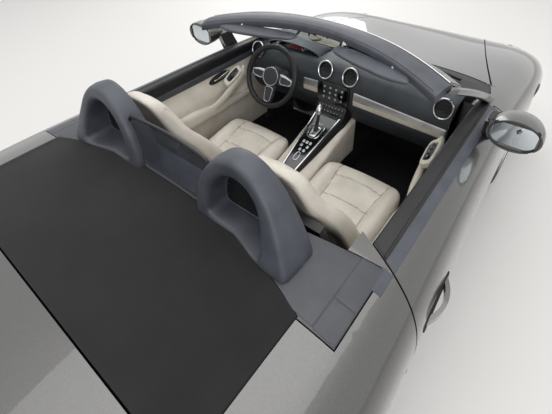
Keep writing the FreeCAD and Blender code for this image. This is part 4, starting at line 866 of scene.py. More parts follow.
def cushion_height(x, y):
    """Top of the cushion: it rises forward, with side bolsters and a slight crown between them."""
    base = np.interp(x, *np.array(CUSHION_TOP, float).T)
    side = np.abs(y)
    bolster = 30 * smooth_step(side, 118, 170) * (1 - 0.75 * smooth_step(side, 178, 225))
    bolster = bolster * (1 - smooth_step(x, 120, 240))
    return base + bolster + 5 * np.cos(np.clip(side / 122, 0, 1) * math.pi / 2)


def cushion_seams(x, y):
    """Distance from the seams on top: two lengthwise that meet the front roll, and two across."""
    side = np.abs(np.abs(y) - np.interp(x, [-200, 60, 180, 250],
                                        [SEAM_SIDE - 6, SEAM_SIDE, SEAM_SIDE + 14, SEAM_SIDE + 20]))
    inner = np.abs(y) < SEAM_SIDE + 12
    across = np.minimum(np.abs(x - 150 + 14 * (y / 120) ** 2), np.abs(x - 10 + 8 * (y / 120) ** 2))
    return np.minimum(side, np.where(inner, across, 99))


def make_cushion():
    """Rings from the middle of the underside, out, up the sides and in over the top."""
    loop = rounded_loop(CUSHION_OUTLINE, 12, 7)
    rings = []
    for scale, z in ((0.05, 348), (0.5, 348), (0.86, 348), (0.955, 356), (0.98, 372), (0.985, 400)):
        rings.append(np.column_stack([loop * scale, np.full(len(loop), z)]))
    for scale, share in ((0.995, 0.62), (1.0, 0.8), (0.99, 0.93), (0.97, 0.985), (0.94, 1), (0.9, 1),
                         (0.84, 1), (0.76, 1),
                         (0.68, 1), (0.6, 1), (0.5, 1), (0.4, 1), (0.3, 1), (0.2, 1), (0.1, 1), (0.03, 1)):
        plane = loop * scale
        top = cushion_height(plane[:, 0], plane[:, 1])
        rings.append(np.column_stack([plane, 400 + (top - 400) * share]))
    points, faces = loft_part(rings)
    return points + (0, SEAT_MIDDLE, 0), faces


def back_front(y, z):
    """Lengthwise place of the back's front face: it leans, with side bolsters and a soft headrest."""
    side = np.abs(y)
    reach = np.interp(z, [470, 760, 860, 960], [1, 1, 0.55, 0.12])
    bolster = 42 * reach * smooth_step(side, 118, 168) * (1 - 0.55 * smooth_step(side, 178, 222))
    head = 16 * smooth_step(z, 905, 960) * (1 - smooth_step(z, 1050, 1110))
    head = head * np.cos(np.clip(side / 130, 0, 1) * math.pi / 2)
    lumbar = 10 * np.exp(-((z - 590) / 90) ** 2)
    return BACK_FOOT_X - (z - 470) * BACK_LEAN + bolster + head + lumbar


def back_seams(y, z):
    """Distance from the back's seams: two lengthwise up to the headrest, and three across."""
    side = np.abs(np.abs(y) - np.interp(z, [470, 760, 900], [SEAM_SIDE - 8, SEAM_SIDE, SEAM_SIDE - 26]))
    inner = np.abs(y) < SEAM_SIDE + 6
    across = np.minimum(np.minimum(np.abs(z - 640), np.abs(z - 790)), np.abs(z - 908 + 12 * (y / 100) ** 2))
    return np.minimum(np.where(z < 905, side, 99), np.where(inner, across, 99))


def make_back():
    """Rings from the middle of the rear face, out round the edge, and in over the front face."""
    loop = rounded_loop(BACK_OUTLINE, 9, 6)
    middle = np.array([0, 760.0])
    rings = []
    thick = np.interp(loop[:, 1], [470, 800, 1100], [112, 96, 66])
    for scale, share in ((0.04, 1), (0.4, 1), (0.75, 1), (0.93, 0.95), (0.985, 0.8), (1.0, 0.6),
                         (1.0, 0.4), (0.992, 0.2),
                         (0.972, 0.06), (0.945, 0), (0.9, 0), (0.83, 0), (0.75, 0), (0.66, 0), (0.56, 0),
                         (0.45, 0), (0.34, 0),
                         (0.22, 0), (0.1, 0), (0.03, 0)):
        plane = middle + (loop - middle) * scale
        front = back_front(plane[:, 0], plane[:, 1])
        rings.append(np.column_stack([front - thick * share, plane]))
    points, faces = loft_part(rings)
    return points + (0, SEAT_MIDDLE, 0), faces


def swell(part, seam_distance):
    """Leather over foam: remeshed, then swollen by cloth pressure between seams that stay down."""
    bm = bmesh.new()
    points, faces = part
    made = [bm.verts.new(p) for p in (points * MM).tolist()]
    for face in faces:
        bm.faces.new([made[i] for i in face])
    bmesh.ops.remove_doubles(bm, verts=bm.verts, dist=1e-6)
    bmesh.ops.recalc_face_normals(bm, faces=bm.faces)
    mesh = bpy.data.meshes.new("pad")
    bm.to_mesh(mesh)
    bm.free()
    pad = bpy.data.objects.new("pad", mesh)
    bpy.context.scene.collection.objects.link(pad)
    remesh = pad.modifiers.new("remesh", "REMESH")
    remesh.mode = "VOXEL"
    remesh.voxel_size = 0.006
    bpy.context.view_layer.update()
    dense = bpy.data.meshes.new_from_object(pad.evaluated_get(bpy.context.evaluated_depsgraph_get()))
    pad.modifiers.clear()
    pad.data = dense
    start = np.empty(len(dense.vertices) * 3)
    dense.vertices.foreach_get("co", start)
    start = start.reshape(-1, 3)
    distance, on_top = seam_distance(start / MM)
    group = pad.vertex_groups.new(name="seams")
    held = np.where((distance < 5) & on_top | ~on_top)[0]
    group.add(held.tolist(), 1.0, "REPLACE")
    cloth = pad.modifiers.new("cloth", "CLOTH")
    cloth.settings.quality = 4
    cloth.settings.use_pressure = True
    cloth.settings.uniform_pressure_force = 4.0
    cloth.settings.effector_weights.gravity = 0.0
    cloth.settings.tension_stiffness = 9.0
    cloth.settings.compression_stiffness = 9.0
    cloth.settings.bending_stiffness = 0.4
    cloth.settings.vertex_group_mass = "seams"
    for step in range(1, CLOTH_STEPS + 1):
        bpy.context.scene.frame_set(step)
    shaped = pad.evaluated_get(bpy.context.evaluated_depsgraph_get()).data
    end = np.empty(len(shaped.vertices) * 3)
    shaped.vertices.foreach_get("co", end)
    move = end.reshape(-1, 3) - start
    far = np.linalg.norm(move, axis=1, keepdims=True)
    start = start + move * np.minimum(1, SWELL_CAP / np.maximum(far, 1e-9))
    pad.modifiers.clear()
    bpy.context.scene.frame_set(1)
    normals = np.empty(len(dense.vertices) * 3)
    dense.vertices.foreach_get("normal", normals)
    sink = 3.5 * np.exp(-(distance / 4.5) ** 2) * on_top
    points = start / MM - normals.reshape(-1, 3) * sink[:, None]
    quads = [list(p.vertices) for p in dense.polygons]
    bpy.data.objects.remove(pad)
    return points, quads, np.exp(-(distance / 2.6) ** 4) * on_top


def on_cushion_top(points):
    """Seam distance on the cushion, and which points are on its upper side."""
    x, y = points[:, 0], points[:, 1] - SEAT_MIDDLE
    return cushion_seams(x, y), points[:, 2] > 440


def on_back_front(points):
    """Seam distance on the back, and which points are on its front side."""
    y, z = points[:, 1] - SEAT_MIDDLE, points[:, 2]
    return back_seams(y, z), points[:, 0] > back_front(y, z) - 34


def make_seat_leather():
    """The cream leather, darker along the seams that the piece's attribute marks."""
    material = CREAM.copy()
    material.name = "seat_leather"
    tree = material.node_tree
    shader = tree.nodes["Principled BSDF"]
    colour = shader.inputs["Base Color"].links[0].from_socket
    seam = add_node(tree, "ShaderNodeAttribute", attribute_name="seam").outputs["Fac"]
    dark = sums(tree, "MULTIPLY", seam, 0.62)
    tree.links.new(blend_colours(tree, dark, colour, tone(96, 84, 70)), shader.inputs["Base Color"])
    return material


SEAT_LEATHER = make_seat_leather()
cushion_shape = swell(make_cushion(), on_cushion_top)
back_shape = swell(make_back(), on_back_front)
for side_name, turn in (("left", list), ("right", mirrored)):
    for pad_name, shape, node in (("seat_cushion_pad_", cushion_shape, "seat_cushion_"),
                                  ("seat_back_pad_", back_shape, "seat_back_")):
        pad_piece = put_mesh(pad_name + side_name, turn([shape[:2]]), SEAT_LEATHER, sharp=180)
        mark = pad_piece.data.attributes.new("seam", "FLOAT", "POINT")
        mark.data.foreach_set("value", shape[2])
        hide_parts(node + side_name)

# Dashboard: one padded moulding in graphite leather grain, from the foot of the windshield over
# the top and down to the knees. The instrument hood stands on it in front of the driver.
DASH_PROFILE = [(778, 862), (720, 892), (640, 912), (575, 918), (530, 920), (498, 912), (476, 886),
                (456, 850),
                (450, 800), (448, 740), (448, 712), (472, 660), (505, 600), (560, 560)]
DASH_HALF = 631.0


def make_dash():
    """The side profile as a spline, carried across the car; it falls a little towards the doors."""
    across = np.linspace(-DASH_HALF, DASH_HALF, 81)
    line = smooth_line(DASH_PROFILE, 72)
    fall = 26 * (np.abs(across) / DASH_HALF) ** 3
    share = smooth_step(line[:, 1], 700, 900)
    sweep = 22 * (np.abs(across[:, None]) / DASH_HALF) ** 2 * smooth_step(line[None, :, 0], 640, 780)
    x = line[None, :, 0] - sweep
    z = line[None, :, 1] - fall[:, None] * share[None]
    grid = np.stack([x, np.broadcast_to(across[:, None], x.shape), z], -1)
    back = grid[:, ::-1] + (26, 0, -18)
    ring = np.concatenate([grid, back[:, 1:-1]], 1)
    return loft_part(ring)


dash = put_mesh("dash_moulding", [make_dash()], GRAPHITE, sharp=50)
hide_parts("dashboard")

HOOD_MIDDLE = 352.0


def make_hood():
    """Arches along x, each a flat half ellipse: low at the front, nearly level, then a rim over the dials."""
    share = np.linspace(0, 1, 40)[:, None]
    angle = np.linspace(0, math.pi, 71)[None]
    x = 745 - 215 * share - 10 * np.sin(angle) * share ** 3
    half = 160 + 29 * share ** 0.6
    foot = np.interp(x, [520, 560, 640, 745], [898, 905, 908, 862])
    top = np.interp(x, [510, 530, 600, 680, 745], [962, 963, 970, 950, 880])
    lean = np.stack([x, HOOD_MIDDLE + half * np.cos(angle), foot + (top - foot) * np.sin(angle) ** 0.6], -1)
    wall = np.stack([0 * x, np.cos(angle) + 0 * share, np.sin(angle) + 0 * share], -1)
    return sheet_part(np.concatenate([lean, lean[::-1] - 8 * wall]))


put_mesh("dial_hood", [make_hood()], GRAPHITE, sharp=60)

# Dials: three round faces in black tubes behind the wheel, the middle one red, with plain marks.
FACE_U = np.array([0, -1.0, 0])
FACE_W = np.array([0.5, 0, 0.866])
FACE_N = np.cross(FACE_U, FACE_W)
DIAL_RED = material_from("dial_red", MOTTLE, shades((96, 12, 16), (140, 24, 26), (0.3, 0.4)), bump=0.05)
PALE_MARK = material_from("pale_mark", MOTTLE, shades((196, 204, 212), (232, 236, 240)), bump=0.05)


def circle(radius, count=40, squash=1.0):
    """Outline of a circle, or of an ellipse squash times as high as it is wide."""
    angle = np.linspace(0, 2 * math.pi, count, endpoint=False)
    return np.stack([radius * np.cos(angle), squash * radius * np.sin(angle)], 1)


def full_oval(count, power):
    """Superellipse of half size 1: a circle whose coordinates are raised to a power below 1."""
    oval = circle(1.0, count)
    return np.sign(oval) * np.abs(oval) ** power


def placed(loop, origin, u, w, height=0.0):
    """Plane outline in space, at a height over its plane."""
    return origin + loop[:, :1] * u + loop[:, 1:] * w + height * np.cross(u, w)


def key_outline(half_x, half_y, per_edge=4, soft=1):
    """Rectangle outline with rounded corners, for keys and small plates."""
    return rounded_loop([(-half_x, -half_y), (half_x, -half_y), (half_x, half_y), (-half_x, half_y)],
                        per_edge, soft)


def turned_by(points, angle):
    """Plane points turned about the origin."""
    c, s = math.cos(angle), math.sin(angle)
    return np.stack([points[:, 0] * c - points[:, 1] * s, points[:, 0] * s + points[:, 1] * c], 1)


MIDDLE_DIAL_R = 54.0
SIDE_DIAL_R = 44.0
dials, marks, dial_faces, red_face = [], [], [], []
for dial_y, dial_z, dial_r in ((98, 904.0, SIDE_DIAL_R), (0, 912.0, MIDDLE_DIAL_R),
                               (-98, 904.0, SIDE_DIAL_R)):
    at = np.array([548.0, HOOD_MIDDLE + dial_y, dial_z])
    dials.append(tube_part(placed(circle(dial_r), at, FACE_U, FACE_W), 3.5, 8, True, up=FACE_N))
    face = pad_part(circle(dial_r), at, FACE_U, FACE_W, -6, -2, 0.5)
    (dial_faces if dial_y else red_face).append(face)
    for step in range(25):
        long = 4 if step % 4 else 7
        mark = np.array([(0, -0.7), (0, 0.7), (-long, 0.7), (-long, -0.7)]) + (dial_r - 5, 0)
        mark = turned_by(mark, math.radians(225 - step * 11.25))
        marks.append(pad_part(mark, at, FACE_U, FACE_W, -2.2, -1.6, 0.1))
    needle = np.array([(-6, -2), (-6, 2), (dial_r - 12, 0.5), (dial_r - 12, -0.5)])
    needle = turned_by(needle, math.radians(230 if dial_y else 200))
    marks.append(pad_part(needle, at, FACE_U, FACE_W, -1.5, 0.6, 0.2))
cluster = rounded_loop([(-172, -50), (-165, 4), (-90, 52), (90, 52), (165, 4), (172, -50)], 10, 6)
dial_faces.append(pad_part(cluster, np.array([552.0, HOOD_MIDDLE, 905.0]), FACE_U, FACE_W, -12, -3, 1))
put_mesh("dial_rims", dials, BRIGHT_TRIM)
put_mesh("dial_faces", dial_faces, GLOSS_BLACK)
put_mesh("dial_middle", red_face, DIAL_RED)
put_mesh("dial_marks", marks, PALE_MARK)

# Air vents: four oval outlets with a bright ring, a black cup and level slats with a small tab.
VENT_U = np.array([0, -1.0, 0])
VENT_W = np.array([0.34, 0, 0.94])
VENTS = [(468, 583, 884), (468, 79, 892), (468, -79, 892), (468, -583, 884)]
vent_rings, vent_black = [], []
VENT_R = 44.0
CUP_STEPS = ((1.06, -14), (1.0, 1), (0.93, 0), (0.88, -20), (0.4, -22))
vent_loop = circle(VENT_R, 48, 1.12)
for vent in VENTS:
    vent = np.array(vent, float)
    vent_rings.append(tube_part(placed(vent_loop, vent, VENT_U, VENT_W, 2), 4.6, 10, True,
                                up=np.cross(VENT_U, VENT_W)))
    cup = [placed(vent_loop * scale, vent, VENT_U, VENT_W, height) for scale, height in CUP_STEPS]
    vent_black.append(loft_part(np.array(cup)))
    for level in np.linspace(-34, 34, 7):
        half = 0.86 * VENT_R * math.sqrt(max(0, 1 - (level / 46) ** 2))
        slat = key_outline(half, 1.4, 3) + (0, level)
        vent_black.append(pad_part(slat, vent, VENT_U, VENT_W, -16, -3, 0.6))
    vent_black.append(pad_part(key_outline(9, 4, 4, 2), vent, VENT_U, VENT_W, -6, 1, 1))
put_mesh("vent_rings", vent_rings, BRIGHT_TRIM)
put_mesh("vent_slats", vent_black, BLACK_PLASTIC, sharp=40)

# Trim band across the dash: brushed silver above and cream leather below, in a few lengths with
# a hairline gap between them. A short length sits left of the console.
def make_band(y0, y1, top_share, bottom_share):
    """Band between two heights, bowed towards the seats like a quarter barrel."""
    across = np.linspace(y0, y1, max(6, int(abs(y1 - y0) / 12)))[:, None]
    share = np.linspace(top_share, bottom_share, 15)[None]
    top = np.interp(np.abs(across), [118, 625], [833, 800])
    bottom = np.interp(np.abs(across), [118, 625], [722, 716])
    z = top + (bottom - top) * share
    x = 456 - 12 * np.sin(np.clip(share, 0, 1) * math.pi) ** 0.7 + 16 * np.exp(-(share / 0.1) ** 2)
    grid = np.stack([x + 0 * across, across + 0 * share, z], -1)
    return sheet_part(rolled(grid, up=(-1, 0, 0), radius=1.2, depth=8))


SATIN_SILVER = material_from("satin_silver", METAL,
                             shades((158, 160, 164), (204, 206, 210), (0.24, 0.36), Streak_Scale=110.0),
                             bump=0.08, Metallic=0.85)
SILVER_LENGTHS = ((-120, -164), (-166, -520), (-522, -562), (-564, -624), (118, 214))
CREAM_LENGTHS = ((-120, -572), (-574, -624), (118, 214))
silver_band = [make_band(start, end, 0, 0.53) for start, end in SILVER_LENGTHS]
cream_band = [make_band(start, end, 0.55, 1) for start, end in CREAM_LENGTHS]
put_mesh("band_silver", silver_band, SATIN_SILVER, facing=(-1, 0, 0))
put_mesh("band_cream", cream_band, CREAM, facing=(-1, 0, 0))

# Centre screen and its switch rows: gloss black glass with a grid of plain pale marks, and two
# rows of small keys on the slope below it.
SCREEN_W = np.array([0.13, 0, 0.99])
screen_at = np.array([440.0, 3.0, 778.0])
screen_loop = rounded_loop([(-101, -60), (101, -60), (97, 60), (-97, 60)], 10, 2)
put_mesh("screen_glass", [pad_part(screen_loop, screen_at, VENT_U, SCREEN_W, -8, 8, 2.5)], GLOSS_BLACK)
icons = []
ICON_BLUE = material_from("screen_marks", MOTTLE, shades((110, 140, 176), (176, 198, 222)), bump=0.0)
for column in range(4):
    for row in range(3):
        icon = circle(6.5, 12) + (-57 + column * 38, 30 - row * 30)
        icons.append(pad_part(icon, screen_at, VENT_U, SCREEN_W, 8, 8.5, 0.2))
put_mesh("screen_marks", icons, ICON_BLUE)
KEY_W = np.array([0.5, 0, 0.866])
keys_at = np.array([408.0, 0.0, 682.0])
key_plate = rounded_loop([(-92, -46), (92, -46), (99, 44), (-99, 44)], 10, 2)
put_mesh("key_plate", [pad_part(key_plate, keys_at, VENT_U, KEY_W, -30, 3, 2)], BLACK_PLASTIC)
keys, key_marks = [], []
for row, level in enumerate((22, -6, -32)):
    for column in range(8):
        spot = np.array([-74 + column * 21.2, level])
        keys.append(pad_part(key_outline(9, 8) + spot, keys_at, VENT_U, KEY_W, 3, 6, 1))
        dash_mark = np.array([(-3.5, -0.8), (3.5, -0.8), (3.5, 0.8), (-3.5, 0.8)]) + spot
        key_marks.append(pad_part(dash_mark, keys_at, VENT_U, KEY_W, 6, 6.3, 0.1))
put_mesh("keys", keys, GLOSS_BLACK)
put_mesh("key_marks", key_marks, PALE_MARK)

# Centre console: cream padded sides and armrest, and a black panel between two bright bars that
# run together towards the rear. The selector stands on it in a bright frame.
CONSOLE_LINE = [(-420, 500), (-300, 508), (-120, 512), (20, 528), (200, 592), (372, 655), (412, 668)]
PAD_LINE = [(-420, 490), (-100, 496), (30, 502), (200, 548), (372, 606), (520, 630)]


def console_z(x):
    """Height of the console's top along the car."""
    return np.interp(x, *np.array(CONSOLE_LINE, float).T)


def eased(points, x, soft):
    """Straight-line table read at x, its corners rounded over a length of 2 soft."""
    points = np.array(points, float)
    return np.mean([np.interp(x + d, points[:, 0], points[:, 1]) for d in np.linspace(-soft, soft, 9)],
                   axis=0)


def make_pads():
    """Padded body across the car: half breadth a superellipse of power 3, crowned 10 mm, upright below."""
    x = np.linspace(-420, 505, 80)[:, None]
    turn = np.linspace(0, math.pi, 49)[None]
    half = 119.0
    y = half * np.sign(np.cos(turn)) * np.abs(np.cos(turn)) ** (2 / 3)
    top = eased(PAD_LINE, x, 40)
    z = top - 40 + 44 * np.abs(np.sin(turn)) ** (2 / 3)
    skirt = np.stack([x + 0 * turn[:, :1], 0 * x + half, 0 * x + 384], -1)
    rings = np.concatenate([skirt, np.stack([x + 0 * turn, y + 0 * x, z], -1), skirt * (1, -1, 1)], 1)
    return loft_part(rings)


def make_spine():
    """Raised black middle: a flat top that narrows to the rear, and flanks that fall to the pads."""
    x = np.linspace(6, 470, 60)
    half = np.interp(x, [14, 384, 470], [42, 81, 92])
    section = [(1.0, 0, 2), (1.0, 3, 0), (1.0, 8, -5), (1.0, 16, -60)]
    top = np.interp(x, *np.array(CONSOLE_LINE + [(470, 700)], float).T)
    side = np.stack([np.stack([x, half * k + out, top + down - 1], 1) for k, out, down in section], 1)
    middle = np.stack([np.stack([x, half * k, top + 1], 1) for k in np.linspace(-0.98, 0.98, 9)], 1)
    return loft_part(np.concatenate([side[:, ::-1] * (1, -1, 1), middle, side], 1))


console = put_mesh("console_pads", [make_pads()], CREAM, sharp=50)
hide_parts("centre_console")
put_mesh("console_spine", [make_spine()], BLACK_PLASTIC, sharp=50)


def console_place(x, y, lift):
    """Points on the console's top, raised by lift."""
    x, y, lift = np.broadcast_arrays(np.asarray(x, float), np.asarray(y, float), np.asarray(lift, float))
    return np.stack([x, y, console_z(x) + lift], -1)


panel_x = np.linspace(24, 372, 40)[:, None]
panel_half = np.interp(panel_x, [24, 372], [36, 72])
panel_grid = console_place(panel_x, panel_half * np.linspace(-1, 1, 13)[None], 5)
put_mesh("console_panel", [sheet_part(rolled(panel_grid, radius=1.5, depth=6))], GLOSS_BLACK,
         facing=(0, 0, 1))
bar_x = np.linspace(14, 384, 60)
bar_half = np.interp(bar_x, [14, 384], [40, 78])
bars = [tube_part(console_place(bar_x, side * bar_half, 6), 4.4, 10, flat=0.8) for side in (-1, 1)]
end_y = np.linspace(-40, 40, 16)
bars.append(tube_part(console_place(np.full(16, 14.0) - 5 * np.cos(end_y / 40 * math.pi / 2), end_y, 6),
                      4.4, 10, flat=0.8))
put_mesh("console_bars", bars, BRIGHT_TRIM)
slope = math.atan2(62, 175)
PANEL_U = np.array([0, -1.0, 0])
PANEL_W = np.array([math.cos(slope), 0, math.sin(slope)])
plate_at = console_place(268, 0, 6)
plate_loop = rounded_loop([(-34, -52), (34, -52), (40, 50), (-40, 50)], 10, 5)
selector = [tube_part(placed(plate_loop, plate_at, PANEL_U, PANEL_W, 1), 3.2, 8, True, up=(0, 0, 1))]
selector.append(pad_part(inset(plate_loop, 13), plate_at + PANEL_W * -8, PANEL_U, PANEL_W, 0, 9, 5))
put_mesh("selector_frame", selector, BRIGHT_TRIM)
stalk = smooth_line([plate_at, plate_at + (10, 0, 34), plate_at + (22, 2, 70), plate_at + (30, 3, 96)], 14)
stalk_r = np.interp(np.arange(14), [0, 4, 13], [17, 9, 8])
put_mesh("selector_stalk", [tube_part(stalk, stalk_r, 14, up=(1, 0, 0))], BLACK_LEATHER)
knob = smooth_line([stalk[-1], stalk[-1] + (3, 0, 12), stalk[-1] + (10, 1, 36), stalk[-1] + (14, 2, 58)],
                   16)
knob_r = 19 * np.sin(np.linspace(0.25, 1, 16) * math.pi) ** 0.6 + 1
put_mesh("selector_knob", [tube_part(knob, knob_r, 18, flat=1.15, up=(1, 0, 0))], BRIGHT_TRIM)
small = []
for spot_x, spot_y in ((186, -22), (186, 0), (186, 22), (160, -20), (160, 20), (134, -14), (134, 12)):
    small.append(pad_part(key_outline(7, 9), console_place(spot_x, spot_y, 5), PANEL_U, PANEL_W, 0, 4, 1))
put_mesh("console_keys", small, SATIN_SILVER)
brake_rim = placed(key_outline(12, 26, 8, 4), console_place(92, 2, 6), PANEL_U, PANEL_W)
put_mesh("brake_switch_rim", [tube_part(brake_rim, 2.2, 8, True)], BRIGHT_TRIM)

# Steering wheel: a black leather rim with thumb rests, three spokes edged in silver, and a plain
# round hub pad.
WHEEL_AT = np.array([323.0, 360.0, 827.0])
WHEEL_U = np.array([0, -1.0, 0])
WHEEL_W = np.array([math.sin(math.radians(25)), 0, math.cos(math.radians(25))])
rim_loop = circle(169, 120)
rim_angle = np.degrees(np.arctan2(rim_loop[:, 1], rim_loop[:, 0]))
rim_swell = 15.5 + 2.2 * np.exp(-((np.abs(np.abs(rim_angle - 90) - 60) / 14) ** 2))
wheel_n = np.cross(WHEEL_U, WHEEL_W)
rim = put_mesh("steering_rim",
               [tube_part(placed(rim_loop, WHEEL_AT, WHEEL_U, WHEEL_W), rim_swell, 20, True, up=wheel_n)],
               BLACK_LEATHER, body="steering_wheel")
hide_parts("steering_wheel")
SPOKE_SIDE = [(40, 34), (100, 24), (158, 16), (160, -12), (148, -28), (100, -30), (40, -44)]
SPOKE_LOW = [(-40, -40), (-32, -100), (-26, -158), (26, -158), (32, -100), (40, -40)]
SPOKE_OTHER = [(-a, b) for a, b in SPOKE_SIDE][::-1]
spoke_loops = [rounded_loop(outline, 8, 4) for outline in (SPOKE_SIDE, SPOKE_OTHER, SPOKE_LOW[::-1])]
spokes = [pad_part(loop, WHEEL_AT, WHEEL_U, WHEEL_W, -30, -8, 6) for loop in spoke_loops]
spokes.append(pad_part(circle(60, 60), WHEEL_AT, WHEEL_U, WHEEL_W, -50, 6, 16))
put_mesh("steering_hub", spokes, GRAPHITE, body="steering_wheel", slot="black_plastic", sharp=50)
edges = []
SPOKE_EDGE = [(62, 24), (140, 12), (146, -10), (128, -22), (66, -26)]
OTHER_EDGE = [(-62, 24), (-66, -26), (-128, -22), (-146, -10), (-140, 12)]
LOWER_EDGE = [(-30, -62), (30, -62), (20, -150), (-20, -150)]
for loop in (SPOKE_EDGE, OTHER_EDGE, LOWER_EDGE):
    edges.append(tube_part(placed(rounded_loop(loop, 8, 3), WHEEL_AT, WHEEL_U, WHEEL_W, -7), 3.6, 8, True,
                           up=wheel_n))
edges.append(tube_part(placed(circle(52, 50), WHEEL_AT, WHEEL_U, WHEEL_W, 5), 2.4, 8, True, up=wheel_n))
BLADE = [(56, 30), (96, 30), (150, 14), (156, 4), (128, 8), (92, 16), (60, 12)]
for way in (-1, 1):
    blade = rounded_loop([(way * a, b) for a, b in BLADE][::way], 8, 3)
    edges.append(pad_part(blade, WHEEL_AT, WHEEL_U, WHEEL_W, -14, -3, 2))
put_mesh("steering_trim", edges, BRIGHT_TRIM, body="steering_wheel")
column_line = np.array([WHEEL_AT - wheel_n * depth for depth in (62, 74, 130, 190)])
put_mesh("steering_column", [tube_part(column_line, np.array([34, 40, 44, 52]), 24, up=(0, 1, 0))],
         GRAPHITE)
stalks = []
for way in (-1, 1):
    stalk_line = [WHEEL_AT - wheel_n * depth + np.array([0, way * out, rise])
                  for depth, out, rise in ((92, 40, 0), (86, 100, 8), (70, 150, 14))]
    stalks.append(tube_part(smooth_line(stalk_line, 12), np.linspace(9, 6, 12), 10))
put_mesh("column_stalks", stalks, BLACK_PLASTIC)

# Door linings: a black grained rail along the top edge, a dark strip under it, and a cream leather
# panel with a release lever in its pocket, a padded armrest and a slanting pull handle. All of it
# is carried by the door.
CARD_X = (-388.0, 630.0)


def make_card():
    """Cream panel y(x, z): flat at 649 below, leaning out to 684 under the rail, hollowed between handle
    and armrest by a smooth oval pit 18 mm deep."""
    x, z = np.meshgrid(np.linspace(*CARD_X, 150), np.linspace(338, 808, 90), indexing="ij")
    y = 649 - 4 * np.exp(-((z - 470) / 60) ** 2) + 35 * smooth_step(z, 680, 800)
    y += 18 * smooth_step(1.25 - ((x - 300) / 130) ** 2 - ((z - 655 - 0.15 * (x - 300)) / 52) ** 2, 0, 0.8)
    grid = np.stack([x, y, z], -1)
    return sheet_part(rolled(grid, up=(0, -1, 0), radius=3, depth=34))


def door_back(y):
    """Place of the door's slanting rear edge at a half width, less 4 mm."""
    return -526 + 0.5 * (905 - y)


def make_rail(inner, outer, lift, low):
    """Rail along the door's top: down the inner face to a height, a rounded corner, over to the seal."""
    share = np.linspace(0, 1, 120)
    rows = []
    for y, foot, drop in ((inner + 5, low, 0), (inner, low + 2, 0), (inner - 1, None, 26),
                          (inner, None, 11),
                          (inner + 3, None, 4), (inner + 8, None, 0)):
        x = door_back(y) + (632 - door_back(y)) * share
        z = top_z(x, inner + 12) + lift - drop if foot is None else 0 * x + foot
        rows.append(np.stack([x, 0 * x + y, z], 1))
    for y in np.linspace(inner + 15, outer, 8):
        x = door_back(y) + (640 - door_back(y)) * share
        rows.append(np.stack([x, 0 * x + y, top_z(x, y) + lift], 1))
    rows.append(rows[-1] + (0, 0.6, -6))
    return sheet_part(np.stack(rows, 1))


def make_strip(inner, outer, lift, back=None, front=640.0):
    """Flat strip on the body's top between two half widths, with its edges rolled down."""
    y = np.linspace(inner, outer, 5)[None]
    start = door_back(y) if back is None else back
    x = start + (front - start) * np.linspace(0, 1, 130)[:, None] + 0 * y
    y = y + 0 * x
    return sheet_part(rolled(np.stack([x, y, top_z(x, y) + lift], -1), radius=1.2, depth=5))


def make_armrest():
    """Padded rest: superellipse sections along x, thicker in the middle, rounded at both ends."""
    back, front = -370, 438
    x = np.linspace(back, front, 90)
    end = np.clip(np.minimum(x - back, front - x) / 46, 0, 1) ** 0.5
    middle_z = np.interp(x, [back, -60, 160, front], [640, 628, 606, 590])
    tall = np.interp(x, [back, -60, 120, 200, front], [46, 44, 34, 24, 20]) * (0.35 + 0.65 * end)
    deep = np.interp(x, [back, -60, 160, front], [40, 44, 36, 26]) * (0.2 + 0.8 * end)
    across, up = full_oval(40, 0.7).T
    y = 656 - deep[:, None] * 0.6 * (across[None] + 0.6)
    z = middle_z[:, None] + tall[:, None] * up[None]
    return loft_part(np.stack([np.broadcast_to(x[:, None], y.shape), y, z], -1))


def make_pull():
    """Slanting pull handle: a flat bar from the armrest up to the switch block."""
    path = smooth_line([(60, 636, 632), (110, 622, 640), (200, 612, 690), (300, 610, 742),
                        (350, 616, 768), (380, 636, 784)], 40)
    return tube_part(path, np.interp(np.arange(40), [0, 8, 30, 39], [20, 25, 25, 22]), 20, flat=0.6,
                     up=(0, 1, 0))


SWITCH_U = np.array([0.93, 0, 0.36])
SWITCH_W = np.array([-0.15, 0.908, 0.39])
switch_at = np.array([268.0, 624.0, 778.0])
block_loop = rounded_loop([(-84, -26), (62, -30), (84, 30), (-70, 30)], 12, 6)


def make_under_strip():
    """Upright strip between card and rail, a little higher at both ends."""
    x = np.linspace(*CARD_X, 60)
    bow = 10 * ((x - 200) / 600) ** 2
    section = ((689, 800), (684, 802), (682, 806), (682, 838), (685, 842))
    return sheet_part(np.stack([np.stack([x, 0 * x + y, z + bow], -1) for y, z in section], 1))


